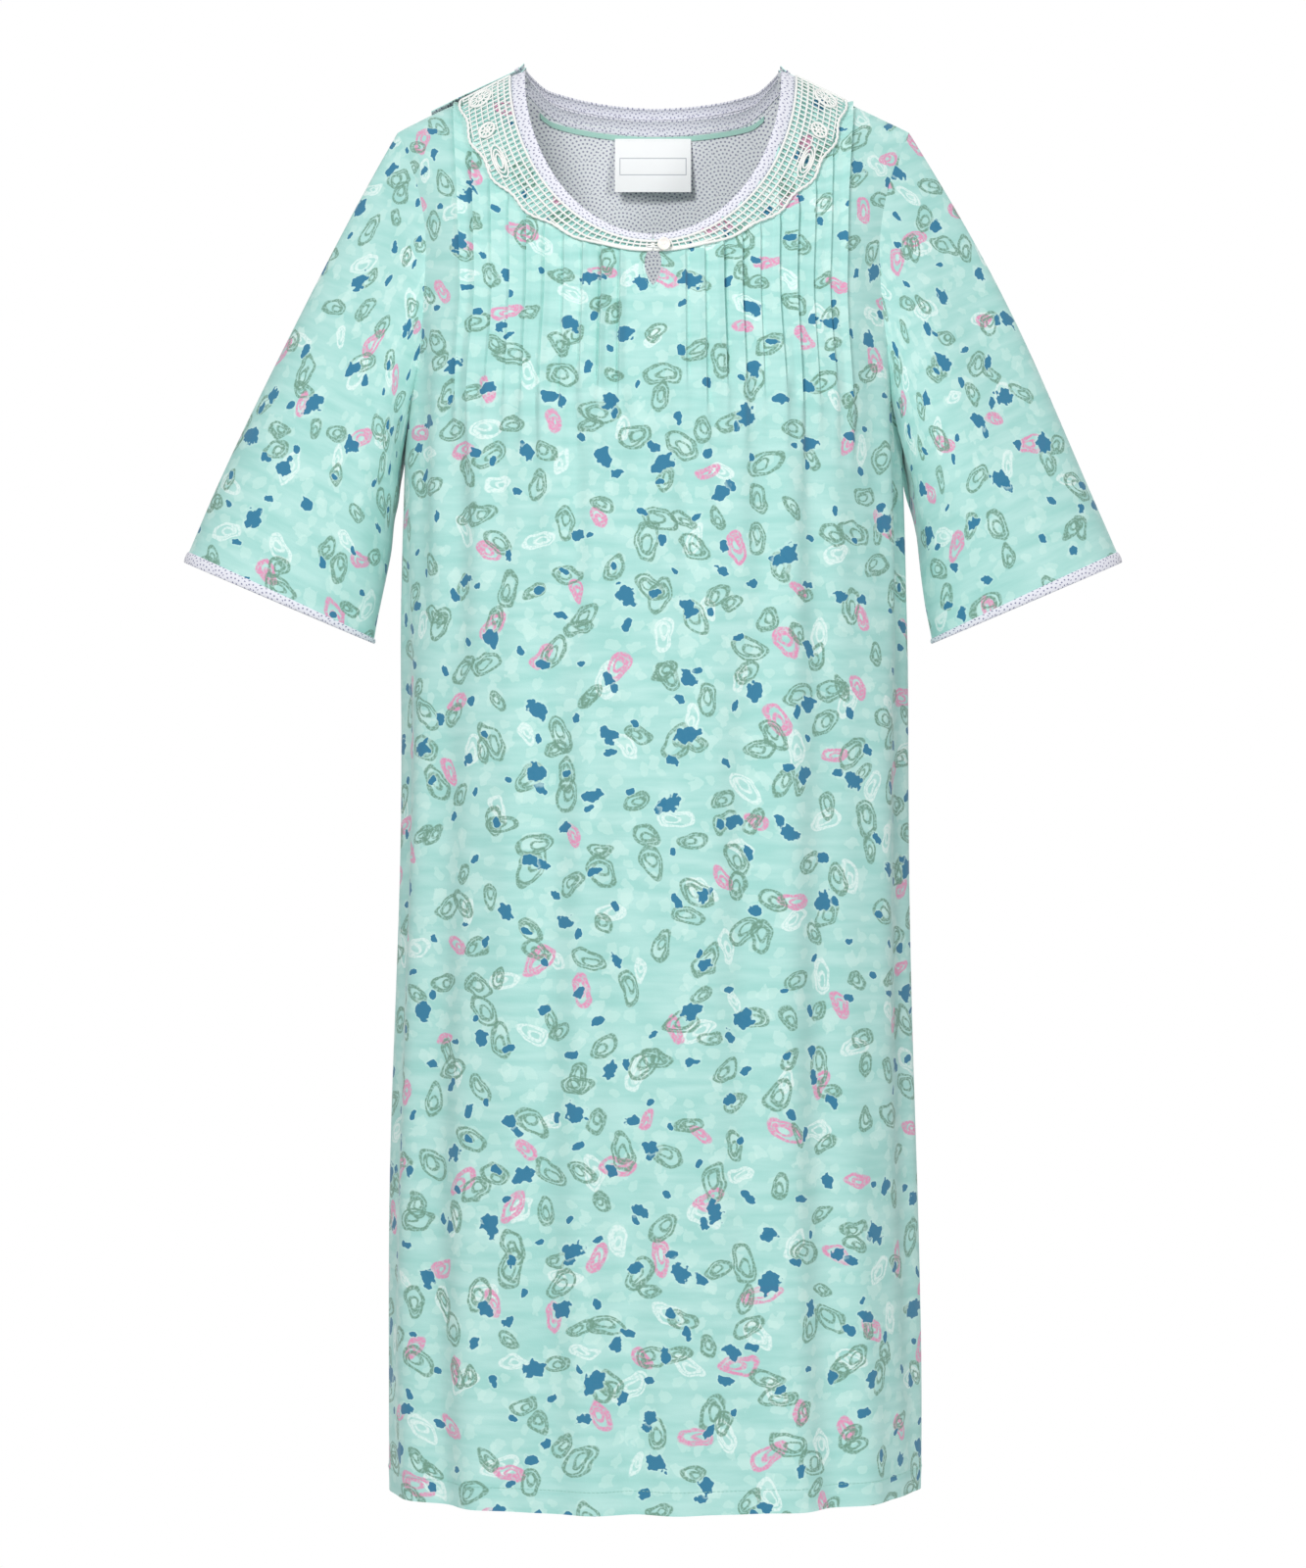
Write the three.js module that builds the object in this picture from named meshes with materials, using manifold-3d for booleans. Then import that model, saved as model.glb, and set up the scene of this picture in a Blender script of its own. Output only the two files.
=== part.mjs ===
// Open-back patient gown with short sleeves, standing open as if worn.
// +X is the wearer's left, the front faces -Y, +Z is up. Millimetres.
// The origin is midway between the two neck points, where the shoulders carry the gown.

import * as THREE from 'three';
import { mergeVertices } from 'three/addons/utils/BufferGeometryUtils.js';
import Module from 'manifold-3d';

// ---- driving dimensions ----
const GOWN_LENGTH = 1085; // neck point to hem
const CLOTH = 1.2; // thickness of every panel
const SEAM_GAP = 0.4; // between two pieces sewn edge to edge
const LAYER_GAP = 1.1; // between two pieces sewn face to face, which curve a little apart
const BINDING_GAP = 1.3; // between a panel's neck edge and its binding

// body
const CHEST_HALF_WIDTH = 190; // at the underarm
const WAIST_HALF_WIDTH = 194;
const HEM_HALF_WIDTH = 204;
const CHEST_HALF_DEPTH = 116;
const HEM_HALF_DEPTH = 126;
const CHEST_DROP = 230; // neck point to the level where the chest is full
const WAIST_DROP = 470;

// shoulder
const NECK_HALF_WIDTH = 104;
const SHOULDER_HALF_WIDTH = 203;
const SHOULDER_SLOPE = 0.495;
const NECK_RISE = 70; // how high the body form would go on above the neck

// neckline, as half ellipses about the origin
const NECK_OPENING = [98, 138]; // half width and depth of the front opening
const BINDING_OUTER = [109, 143];
const LACE_OUTER = [150, 152];
const LACE_THICKNESS = 1;
const BACK_NECK_DEPTH = 15;
const BACK_BINDING_WIDTH = 9;
const INNER_NECK_STEP = 6; // the inner panel's neck edge below the outer one's

// armhole, as two parabolas seen from the front
const ARMHOLE_HALF_WIDTH = 172.5; // at its narrowest
const ARMHOLE_WAIST_DROP = 145;
const ARMHOLE_TOP_BEND = 0.00245;
const ARMHOLE_LOW_BEND = 0.0009;
const UNDERARM_DROP = 285;

// sleeve and cuff
const CUFF_OUTER = [360, 376]; // distance out and down of the cuff's outer corner
const CUFF_INNER = [215, 438];
const CUFF_HALF_DEPTH = 42;
const CUFF_BAND = 9;
const SLEEVE_CLEARANCE = 1; // armhole edge to the sleeve's first ring

// keyhole, button and loop
const KEYHOLE_WIDTH = 12.5;
const KEYHOLE_LENGTH = 33;
const KEYHOLE_DROP = 6; // below the opening's edge
const KEYHOLE_SLIT = 1.2;
const FACING_MARGIN = 6;
const BUTTON_RADIUS = 5;
const BUTTON_THICKNESS = 2.4;
const SHANK_RADIUS = 1;
const SHANK_LENGTH = 2.2;
const BUTTON_X = 8; // on the wearer's left of the slit
const BUTTON_DROP = 4; // below the binding
const LOOP_WIRE = 0.6; // radius of the thread loop
const LOOP_CLEARANCE = 0.5;

// back panels
const LAYER_PITCH = 6.8; // outer panel outside the inner one, room for a closed snap
const FOLD_X = 120; // the line where the outer flap folds open, from the chest level down
const FOLD_TOP_X = 50; // where that line meets the neck, slanting in above the chest level
const FOLD_GAP = 6;
const FREE_EDGE_X = 168; // free vertical edge of each back panel, just inside the far armhole

// neck label and tape
const TAPE_WIDTH = 7;
const TAPE_SHORTER = 8; // at each end
const LABEL_WIDTH = 60;
const LABEL_HEIGHT = 42;
const LABEL_THICKNESS = 0.5;
const LABEL_DROP = 1; // tape to the top of the label

// snaps behind each shoulder
const SNAP_X = [124, 152];
const SNAP_DROP = 80; // below the neck point
const SNAP_GAP = 0.8; // disc to the curved cloth beside it
const CAP_RADIUS = 6;
const CAP_THICKNESS = 1.1;
const SOCKET_RADIUS = 5;
const SOCKET_BORE = 2.9;
const SOCKET_THICKNESS = 1.4;
const STUD_RADIUS = 4.6;
const STUD_BASE = 0.5;
const KNOB_RADIUS = 2;
const KNOB_REACH = 0.5; // how far the knob enters its socket
const POST_RADIUS = 4.6;
const POST_THICKNESS = 0.5;

// how far a cutting outline runs past the cloth it cuts
const CUT_REACH = 300;
const CUT_MARGIN = 50;
const BODY_COLUMNS = 26;
const STRIP_COLUMNS = 22;

const HEM_Z = -GOWN_LENGTH;
const CHEST_Z = -CHEST_DROP;
const WAIST_Z = -WAIST_DROP;
const FRONT = -1;
const BACK = 1;

const gown = new THREE.Group();
gown.name = 'patient_gown';

// ---- cloth finishes ----
const cloth = (color, roughness = 0.85) => new THREE.MeshStandardMaterial({ color, roughness, metalness: 0 });
const finishes = {
  print: cloth('#b7e2d8'),
  dotted: cloth('#e6e9f2'),
  lace: cloth('#f5f4ef'),
  tape: cloth('#a9d9cd'),
  label: cloth('#f4f4f4', 0.6),
  thread: cloth('#f2f2ee'),
  pearl: new THREE.MeshStandardMaterial({ color: '#f3f0ea', roughness: 0.25, metalness: 0 }),
  snap: new THREE.MeshStandardMaterial({ color: '#c9ccd0', roughness: 0.35, metalness: 0.9 }),
};

// ---- the body form ----
// A place on the form is (s, h). s runs from -1 to 1 across, h is the height below the chest level,
// or, above it, the share 0 to 1 of the way up to the shoulder crest.

const lerp = THREE.MathUtils.lerp;
const clamp = THREE.MathUtils.clamp;
const smooth = (value) => THREE.MathUtils.smoothstep(value, 0, 1);

function crestHeight(x) {
  const out = Math.abs(x);
  const slope = -SHOULDER_SLOPE * (out - NECK_HALF_WIDTH);
  const inside = Math.max(0, 1 - (out / NECK_HALF_WIDTH) ** 2);
  return slope + NECK_RISE * inside ** 1.5;
}

function halfWidthBelow(z) {
  if (z > WAIST_Z) {
    return lerp(CHEST_HALF_WIDTH, WAIST_HALF_WIDTH, smooth((CHEST_Z - z) / (CHEST_Z - WAIST_Z)));
  }
  return lerp(WAIST_HALF_WIDTH, HEM_HALF_WIDTH, smooth((WAIST_Z - z) / (WAIST_Z - HEM_Z)));
}

function halfDepthBelow(z) {
  return lerp(CHEST_HALF_DEPTH, HEM_HALF_DEPTH, smooth((CHEST_Z - z) / (CHEST_Z - HEM_Z)));
}

// the section is fuller than an ellipse
const sectionDepth = (s) => Math.max(0, 1 - Math.abs(s) ** 2.3) ** 0.5;

// A point on the form, moved outwards by offset.
function onForm(s, h, side, offset) {
  const x0 = SHOULDER_HALF_WIDTH * s;
  let halfWidth;
  let halfDepth;
  let z;
  if (h <= 0) {
    z = CHEST_Z + h;
    halfWidth = halfWidthBelow(z);
    halfDepth = halfDepthBelow(z);
  } else {
    z = lerp(CHEST_Z, crestHeight(x0) + offset, h);
    halfWidth = lerp(CHEST_HALF_WIDTH, SHOULDER_HALF_WIDTH, h * h);
    halfDepth = CHEST_HALF_DEPTH * Math.max(0, 1 - h ** 1.5) ** 0.6;
  }
  const x = (halfWidth + offset) * s;
  const y = side * ((halfDepth + offset * Math.min(1, halfDepth / 20)) * sectionDepth(s) + SEAM_GAP / 2);
  return new THREE.Vector3(x, y, z);
}

// The place (s, h) whose point, lifted off the form, lies at x and z when seen from the front.
function placeAt(x, z, lift = 0) {
  const offset = (s) => (typeof lift === 'function' ? lift(s) : lift);
  let s = x / SHOULDER_HALF_WIDTH;
  if (z <= CHEST_Z) return [clamp(x / (halfWidthBelow(z) + offset(s)), -1, 1), z - CHEST_Z];
  let h = 0;
  for (let pass = 0; pass < 12; pass += 1) {
    h = clamp((z - CHEST_Z) / (crestHeight(SHOULDER_HALF_WIDTH * s) + offset(s) - CHEST_Z), 0, 1);
    s = clamp(x / (lerp(CHEST_HALF_WIDTH, SHOULDER_HALF_WIDTH, h * h) + offset(s)), -1, 1);
  }
  return [s, h];
}

// ---- solids from grids ----

// A closed solid between two grids of points, each given as rows of equal length.
function solidBetween(outer, inner, closed = false) {
  const rows = outer.length;
  const columns = outer[0].length;
  const positions = [];
  for (const grid of [outer, inner]) {
    for (const row of grid) {
      for (const point of row) positions.push(point.x, point.y, point.z);
    }
  }
  const at = (layer, row, column) => (layer * rows + row) * columns + (column % columns);
  const faces = [];
  const quad = (a, b, c, d) => faces.push(a, b, c, a, c, d);
  const spans = closed ? columns : columns - 1;
  for (let row = 0; row < rows - 1; row += 1) {
    for (let column = 0; column < spans; column += 1) {
      quad(at(0, row, column), at(0, row + 1, column), at(0, row + 1, column + 1), at(0, row, column + 1));
      quad(at(1, row, column), at(1, row, column + 1), at(1, row + 1, column + 1), at(1, row + 1, column));
    }
  }
  for (let column = 0; column < spans; column += 1) {
    const last = rows - 1;
    quad(at(0, 0, column), at(0, 0, column + 1), at(1, 0, column + 1), at(1, 0, column));
    quad(at(0, last, column), at(1, last, column), at(1, last, column + 1), at(0, last, column + 1));
  }
  if (!closed) {
    for (let row = 0; row < rows - 1; row += 1) {
      const last = columns - 1;
      quad(at(0, row, 0), at(1, row, 0), at(1, row + 1, 0), at(0, row + 1, 0));
      quad(at(0, row, last), at(0, row + 1, last), at(1, row + 1, last), at(1, row, last));
    }
  }
  const geometry = new THREE.BufferGeometry();
  geometry.setAttribute('position', new THREE.Float32BufferAttribute(positions, 3));
  geometry.setIndex(faces);
  return facedOut(geometry);
}

function signedVolume(geometry) {
  const position = geometry.attributes.position;
  const index = geometry.index;
  const [a, b, c] = [new THREE.Vector3(), new THREE.Vector3(), new THREE.Vector3()];
  let total = 0;
  for (let i = 0; i < index.count; i += 3) {
    a.fromBufferAttribute(position, index.getX(i));
    b.fromBufferAttribute(position, index.getX(i + 1));
    c.fromBufferAttribute(position, index.getX(i + 2));
    total += a.dot(b.cross(c)) / 6;
  }
  return total;
}

function facedOut(geometry) {
  if (signedVolume(geometry) > 0) return geometry;
  const index = geometry.index;
  for (let i = 0; i < index.count; i += 3) {
    const first = index.getX(i);
    index.setX(i, index.getX(i + 1));
    index.setX(i + 1, first);
  }
  return geometry;
}

// Cloth over a patch: mapping(u, v) gives (s, h), lift is how far its inner face stands off the form.
function clothPatch(columns, rows, mapping, side, lift, thickness = CLOTH) {
  const grid = (raised) => {
    const points = [];
    for (let row = 0; row <= rows; row += 1) {
      const line = [];
      for (let column = 0; column <= columns; column += 1) {
        const [s, h] = mapping(column / columns, row / rows);
        const offset = typeof lift === 'function' ? lift(s) : lift;
        line.push(onForm(s, h, side, offset + raised));
      }
      points.push(line);
    }
    return points;
  };
  return solidBetween(grid(thickness), grid(0));
}

// The rows of a whole panel: close together over the shoulder, wide apart down the skirt.
const ROWS_ABOVE = 12;
const ROWS_BELOW = 10;
const BODY_ROWS = ROWS_ABOVE + ROWS_BELOW;
function heightAt(v, lowest = HEM_Z) {
  const row = v * BODY_ROWS;
  if (row <= ROWS_ABOVE) return Math.cos((row / ROWS_ABOVE) * Math.PI / 2) ** 0.8;
  return lerp(0, lowest - CHEST_Z, (row - ROWS_ABOVE) / ROWS_BELOW);
}

// ---- joins and cuts ----
const wasm = await Module();
wasm.setup();

function toManifold(geometry) {
  const bare = geometry.clone();
  bare.deleteAttribute('normal');
  bare.deleteAttribute('uv');
  const merged = mergeVertices(bare, 1e-4);
  return new wasm.Manifold(new wasm.Mesh({
    numProp: 3,
    vertProperties: new Float32Array(merged.attributes.position.array),
    triVerts: new Uint32Array(merged.index.array),
  }));
}

function toGeometry(solid) {
  const mesh = solid.getMesh();
  const geometry = new THREE.BufferGeometry();
  const positions = Float32Array.from(mesh.vertProperties);
  geometry.setAttribute('position', new THREE.Float32BufferAttribute(positions, 3));
  geometry.setIndex(Array.from(mesh.triVerts));
  return geometry;
}

function cut(geometry, ...cutters) {
  let solid = toManifold(geometry);
  for (const cutter of cutters) solid = solid.subtract(toManifold(cutter));
  return toGeometry(solid);
}

// A prism along Y over an outline of [x, z] points, from one depth to another.
function prism(outline, fromY, toY) {
  const shape = new THREE.Shape(outline.map(([x, z]) => new THREE.Vector2(x, z)));
  const geometry = new THREE.ExtrudeGeometry(shape, { depth: toY - fromY, bevelEnabled: false });
  geometry.rotateX(Math.PI / 2);
  geometry.translate(0, toY, 0);
  return geometry;
}

// ---- outlines seen from the front ----
const ARC_STEPS = 24;

function neckOutline(halfWidth, depth) {
  const points = [];
  for (let i = 0; i <= ARC_STEPS; i += 1) {
    const angle = Math.PI * (1 + i / ARC_STEPS);
    points.push([halfWidth * Math.cos(angle), depth * Math.sin(angle)]);
  }
  return [...points, [halfWidth, NECK_RISE * 3], [-halfWidth, NECK_RISE * 3]];
}

function armholeX(z) {
  const away = z + ARMHOLE_WAIST_DROP;
  return ARMHOLE_HALF_WIDTH + (away > 0 ? ARMHOLE_TOP_BEND : ARMHOLE_LOW_BEND) * away * away;
}

const ARMHOLE_TOP_Z = -20; // the outline of the cut starts above the shoulder's end
const ARMHOLE_END_Z = -UNDERARM_DROP - 8;

function armholeOutline(sign) {
  const far = SHOULDER_HALF_WIDTH * 2;
  const points = [];
  for (let i = 0; i <= ARC_STEPS; i += 1) {
    const z = lerp(ARMHOLE_TOP_Z, ARMHOLE_END_Z, i / ARC_STEPS);
    points.push([sign * armholeX(z), z]);
  }
  return [...points, [sign * far, ARMHOLE_END_Z], [sign * far, ARMHOLE_TOP_Z]];
}

const armholeCuts = [-1, 1].map((sign) => prism(armholeOutline(sign), -CUT_REACH, CUT_REACH));

function keyholeOutline() {
  const top = -NECK_OPENING[1] - KEYHOLE_DROP;
  const slitTop = top + KEYHOLE_LENGTH;
  const points = [[KEYHOLE_SLIT / 2, slitTop], [-KEYHOLE_SLIT / 2, slitTop]];
  const side = (sign, t) => {
    const half = Math.max(KEYHOLE_SLIT / 2, (KEYHOLE_WIDTH / 2) * Math.sin(Math.PI * t) ** 0.8);
    return [sign * half, top - KEYHOLE_LENGTH * t];
  };
  for (let i = 1; i <= 8; i += 1) points.push(side(-1, i / 8));
  for (let i = 8; i >= 1; i -= 1) points.push(side(1, i / 8));
  return points;
}
const keyholeCut = prism(keyholeOutline(), -CUT_REACH, 0);

function addPiece(name, geometry, material) {
  const mesh = new THREE.Mesh(geometry, material);
  mesh.name = name;
  gown.add(mesh);
  return mesh;
}

// ---- front ----
function frontPanel() {
  const whole = clothPatch(
    BODY_COLUMNS, BODY_ROWS, (u, v) => [Math.sin(lerp(-1, 1, u) * Math.PI / 2), heightAt(v)], FRONT, -CLOTH,
  );
  const neck = prism(neckOutline(BINDING_OUTER[0] + BINDING_GAP, BINDING_OUTER[1] + BINDING_GAP),
    -CUT_REACH, CUT_REACH);
  return cut(whole, neck, ...armholeCuts, keyholeCut);
}

// A strip between two of the neck's half ellipses on one side, from the shoulder to the middle.
function neckStrip(sign, insideArc, outsideArc, across, lift, thickness, gapAtMiddle) {
  const startOn = ([halfWidth, depth]) => {
    let angle = 0;
    for (let pass = 0; pass < 20; pass += 1) {
      const crest = Math.min(0, crestHeight(halfWidth * Math.cos(angle))) - 1;
      angle = Math.asin(clamp(-crest / depth, 0, 1));
    }
    return angle;
  };
  const mapping = (u, v) => {
    const arcPoint = ([halfWidth, depth]) => {
      const angle = lerp(startOn([halfWidth, depth]), Math.PI / 2, u);
      const x = Math.max(gapAtMiddle, halfWidth * Math.cos(angle));
      return [x, -depth * Math.sin(angle)];
    };
    const [insideX, insideZ] = arcPoint(insideArc);
    const [outsideX, outsideZ] = arcPoint(outsideArc);
    const x = lerp(insideX, outsideX, v);
    const z = lerp(insideZ, outsideZ, v);
    return placeAt(sign * x, z, lift + thickness / 2);
  };
  return clothPatch(STRIP_COLUMNS, across, mapping, FRONT, lift, thickness);
}

function keyholeFacing() {
  const top = -BINDING_OUTER[1] - 2;
  const bottom = -NECK_OPENING[1] - KEYHOLE_DROP - KEYHOLE_LENGTH - FACING_MARGIN;
  const half = KEYHOLE_WIDTH / 2 + FACING_MARGIN;
  const patch = clothPatch(6, 8, (u, v) => placeAt(lerp(-half, half, u), lerp(top, bottom, v)),
    FRONT, -CLOTH * 2 - LAYER_GAP);
  return cut(patch, keyholeCut);
}

addPiece('front_panel', frontPanel(), finishes.print);
for (const [name, sign] of [['right', -1], ['left', 1]]) {
  const binding = neckStrip(sign, NECK_OPENING, BINDING_OUTER, 1, -CLOTH, CLOTH, KEYHOLE_SLIT / 2);
  addPiece(`${name}_front_neck_binding`, binding, finishes.dotted);
  const laceInner = [BINDING_OUTER[0] + 1, BINDING_OUTER[1] + 1];
  const lace = neckStrip(sign, laceInner, LACE_OUTER, 4, LAYER_GAP, LACE_THICKNESS, KEYHOLE_SLIT / 2);
  addPiece(`${name}_lace_collar`, lace, finishes.lace);
}
addPiece('keyhole_facing', keyholeFacing(), finishes.dotted);

// ---- button, its thread shank and its loop, in front of the neck's middle ----
const buttonPlace = onForm(...placeAt(BUTTON_X, -BINDING_OUTER[1] - BUTTON_DROP), FRONT,
  LACE_THICKNESS + LAYER_GAP);
const faceForward = (geometry) => geometry.rotateX(Math.PI);

function buttonBody() {
  const rim = BUTTON_RADIUS;
  const profile = [
    [0, 0], [rim * 0.7, 0], [rim, BUTTON_THICKNESS * 0.35], [rim, BUTTON_THICKNESS * 0.7],
    [rim * 0.86, BUTTON_THICKNESS], [rim * 0.6, BUTTON_THICKNESS * 0.8], [0, BUTTON_THICKNESS * 0.8],
  ].map(([radius, height]) => new THREE.Vector2(radius, height));
  return faceForward(new THREE.LatheGeometry(profile, 20));
}

const shank = faceForward(new THREE.CylinderGeometry(SHANK_RADIUS, SHANK_RADIUS, SHANK_LENGTH, 10));
addPiece('button_thread_shank', shank, finishes.thread)
  .position.set(buttonPlace.x, buttonPlace.y - LAYER_GAP - SHANK_LENGTH / 2, buttonPlace.z);
const buttonFace = buttonPlace.y - LAYER_GAP - SHANK_LENGTH - SEAM_GAP;
addPiece('neck_button', buttonBody(), finishes.pearl).position.set(buttonPlace.x, buttonFace, buttonPlace.z);

function buttonLoop() {
  const radius = SHANK_RADIUS + LOOP_CLEARANCE + LOOP_WIRE;
  const route = new THREE.CatmullRomCurve3([
    new THREE.Vector3(-12, 0, 1),
    new THREE.Vector3(-4, 0, radius * 0.9),
    new THREE.Vector3(0, 0, radius),
    new THREE.Vector3(radius, 0, 0),
    new THREE.Vector3(0, 0, -radius),
    new THREE.Vector3(-4, 0, -radius * 0.9),
    new THREE.Vector3(-12, 0, -1.6),
  ]);
  const section = new THREE.Shape().absarc(0, 0, LOOP_WIRE, 0, Math.PI * 2);
  return new THREE.ExtrudeGeometry(section, { steps: 20, extrudePath: route, curveSegments: 3 });
}
addPiece('button_loop', buttonLoop(), finishes.thread)
  .position.set(buttonPlace.x, buttonPlace.y - LAYER_GAP - LOOP_WIRE - 0.5, buttonPlace.z);

// ---- sleeves and cuffs ----
const RING_STEPS = 28;
const SLEEVE_ROWS = 10;
const SHOULDER_TIP_Z = crestHeight(SHOULDER_HALF_WIDTH - 5) - 1;

function armholePoint(sign, angle) {
  const z = lerp(-UNDERARM_DROP, SHOULDER_TIP_Z, (1 + Math.cos(angle)) / 2);
  const side = Math.sin(angle) >= 0 ? FRONT : BACK;
  const [s, h] = placeAt(sign * armholeX(z), z);
  const point = onForm(s, h, side, 0);
  if (Math.abs(Math.sin(angle)) < 1e-6) point.y = 0;
  return point;
}

function cuffPoint(sign, angle, beyond) {
  const [outX, outDrop] = CUFF_OUTER;
  const [inX, inDrop] = CUFF_INNER;
  const middle = new THREE.Vector3((outX + inX) / 2, 0, -(outDrop + inDrop) / 2);
  const along = new THREE.Vector3((outX - inX) / 2, 0, -(outDrop - inDrop) / 2);
  const down = new THREE.Vector3(along.z, 0, -along.x).normalize();
  const point = middle.clone()
    .addScaledVector(along, Math.cos(angle))
    .addScaledVector(down, beyond);
  point.y = -CUFF_HALF_DEPTH * Math.sin(angle);
  point.x *= sign;
  return point;
}

// A ring of the sleeve, w from 0 at the armhole to 1 at the cuff's edge.
function sleeveRing(sign, w, inset) {
  const ring = [];
  const middle = new THREE.Vector3();
  for (let i = 0; i < RING_STEPS; i += 1) {
    const angle = (i / RING_STEPS) * Math.PI * 2;
    const from = armholePoint(sign, angle);
    from.x += sign * SLEEVE_CLEARANCE;
    const to = cuffPoint(sign, angle, 0);
    const point = from.lerp(to, w);
    point.y *= 1 + 0.12 * Math.sin(Math.PI * w);
    point.x += sign * 7 * Math.sin(Math.PI * w) * Math.max(0, Math.cos(angle));
    ring.push(point);
    middle.add(point);
  }
  middle.divideScalar(RING_STEPS);
  return ring.map((point) => {
    const inwards = middle.clone().sub(point);
    return point.clone().addScaledVector(inwards.normalize(), inset);
  });
}

function sleeveSpan(sign, from, to, rows, inset) {
  const outer = [];
  const inner = [];
  for (let row = 0; row <= rows; row += 1) {
    const w = lerp(from, to, row / rows);
    outer.push(sleeveRing(sign, w, inset));
    inner.push(sleeveRing(sign, w, inset + CLOTH));
  }
  return solidBetween(outer, inner, true);
}

const sleeveLength = Math.hypot(CUFF_OUTER[0] - SHOULDER_HALF_WIDTH, CUFF_OUTER[1] - 49);
const bandShare = CUFF_BAND / sleeveLength;
for (const [name, sign] of [['right', -1], ['left', 1]]) {
  const sleeveEnd = 1 - bandShare - SEAM_GAP / sleeveLength;
  addPiece(`${name}_sleeve`, sleeveSpan(sign, 0, sleeveEnd, SLEEVE_ROWS, 0), finishes.print);
  addPiece(`${name}_cuff_band`, sleeveSpan(sign, 1 - bandShare, 1, 1, 0), finishes.dotted);
}

// ---- back panels ----
// Both layers drift outwards from the right side to the left: each meets the front where it is sewn.
const outerLift = (s) => LAYER_PITCH * (1 - smooth((s + 1) / 2)) - CLOTH;
const innerLift = (s) => outerLift(s) - LAYER_PITCH;

function backPatch(columns, fromX, toX, lift, extra = 0) {
  const reach = (x) => clamp(x / WAIST_HALF_WIDTH, -1, 1);
  const [from, to] = [Math.asin(reach(fromX)), Math.asin(reach(toX))];
  return clothPatch(columns, BODY_ROWS, (u, v) => [Math.sin(lerp(from, to, u)), heightAt(v)], BACK,
    (s) => lift(s) + extra);
}

function backNeckCut(drop) {
  const half = NECK_OPENING[0];
  const points = [];
  for (let i = 0; i <= ARC_STEPS; i += 1) {
    const angle = Math.PI * (1 + i / ARC_STEPS);
    points.push([half * Math.cos(angle), -drop + BACK_NECK_DEPTH * Math.sin(angle)]);
  }
  return prism([...points, [half, NECK_RISE * 3], [-half, NECK_RISE * 3]], 0, CUT_REACH);
}

const beyondSide = SHOULDER_HALF_WIDTH * 2;

function slab(fromX, toX) {
  const [low, high] = [HEM_Z - CUT_MARGIN, CUT_REACH];
  return prism([[fromX, low], [toX, low], [toX, high], [fromX, high]], -CUT_REACH, CUT_REACH);
}

// Everything behind the fold line on one side: towards +X with sign 1, towards -X with sign -1.
function besideFold(sign) {
  const shift = -sign * FOLD_GAP / 2;
  const slant = (FOLD_X - FOLD_TOP_X) / CHEST_DROP;
  const topX = FOLD_TOP_X + shift - CUT_MARGIN * slant;
  const low = HEM_Z - CUT_MARGIN;
  return prism([
    [FOLD_X + shift, low], [FOLD_X + shift, CHEST_Z], [topX, CUT_MARGIN],
    [topX, CUT_REACH], [sign * beyondSide, CUT_REACH], [sign * beyondSide, low],
  ], -CUT_REACH, CUT_REACH);
}

const outerNeckDrop = BACK_BINDING_WIDTH + BINDING_GAP;
const outerWhole = cut(backPatch(BODY_COLUMNS, -WAIST_HALF_WIDTH, WAIST_HALF_WIDTH, outerLift),
  backNeckCut(outerNeckDrop), ...armholeCuts);
const outerPanel = cut(outerWhole, besideFold(-1));
const outerFlap = cut(outerWhole, besideFold(1), slab(-beyondSide, -FREE_EDGE_X));
addPiece('outer_back_panel', outerPanel, finishes.print);
addPiece('outer_back_flap', outerFlap, finishes.print);
const innerWhole = cut(backPatch(BODY_COLUMNS, -WAIST_HALF_WIDTH, WAIST_HALF_WIDTH, innerLift),
  backNeckCut(outerNeckDrop + INNER_NECK_STEP), ...armholeCuts);
const innerPanel = cut(innerWhole, slab(FREE_EDGE_X, beyondSide));
addPiece('inner_back_panel', innerPanel, finishes.print);

// ---- back neck bindings, tape and label ----
// A strip along the back neck, from one depth below its edge to another.
function backNeckStrip(fromDrop, toDrop, lift, halfWidth, thickness = CLOTH) {
  const mapping = (u, v) => {
    const x = lerp(-halfWidth, halfWidth, u);
    const rim = -BACK_NECK_DEPTH * Math.sqrt(Math.max(0, 1 - (x / NECK_OPENING[0]) ** 2));
    return placeAt(x, rim - lerp(fromDrop, toDrop, v), (s) => lift(s) + thickness / 2);
  };
  return clothPatch(STRIP_COLUMNS, 1, mapping, BACK, lift, thickness);
}

const bindingHalf = NECK_OPENING[0] - 1;
const outerBinding = backNeckStrip(0, BACK_BINDING_WIDTH, outerLift, bindingHalf);
addPiece('outer_neck_binding', cut(outerBinding, besideFold(1)), finishes.dotted);
addPiece('outer_neck_binding_end', cut(outerBinding, besideFold(-1)), finishes.dotted);
const innerEdge = INNER_NECK_STEP;
addPiece('inner_neck_binding',
  backNeckStrip(innerEdge, innerEdge + BACK_BINDING_WIDTH, innerLift, bindingHalf), finishes.dotted);
const tapeTop = innerEdge + BACK_BINDING_WIDTH;
const tapeLift = (s) => innerLift(s) - LAYER_GAP - CLOTH;
const tapeHalf = bindingHalf - TAPE_SHORTER;
addPiece('back_neck_tape', backNeckStrip(tapeTop, tapeTop + TAPE_WIDTH, tapeLift, tapeHalf), finishes.tape);

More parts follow.
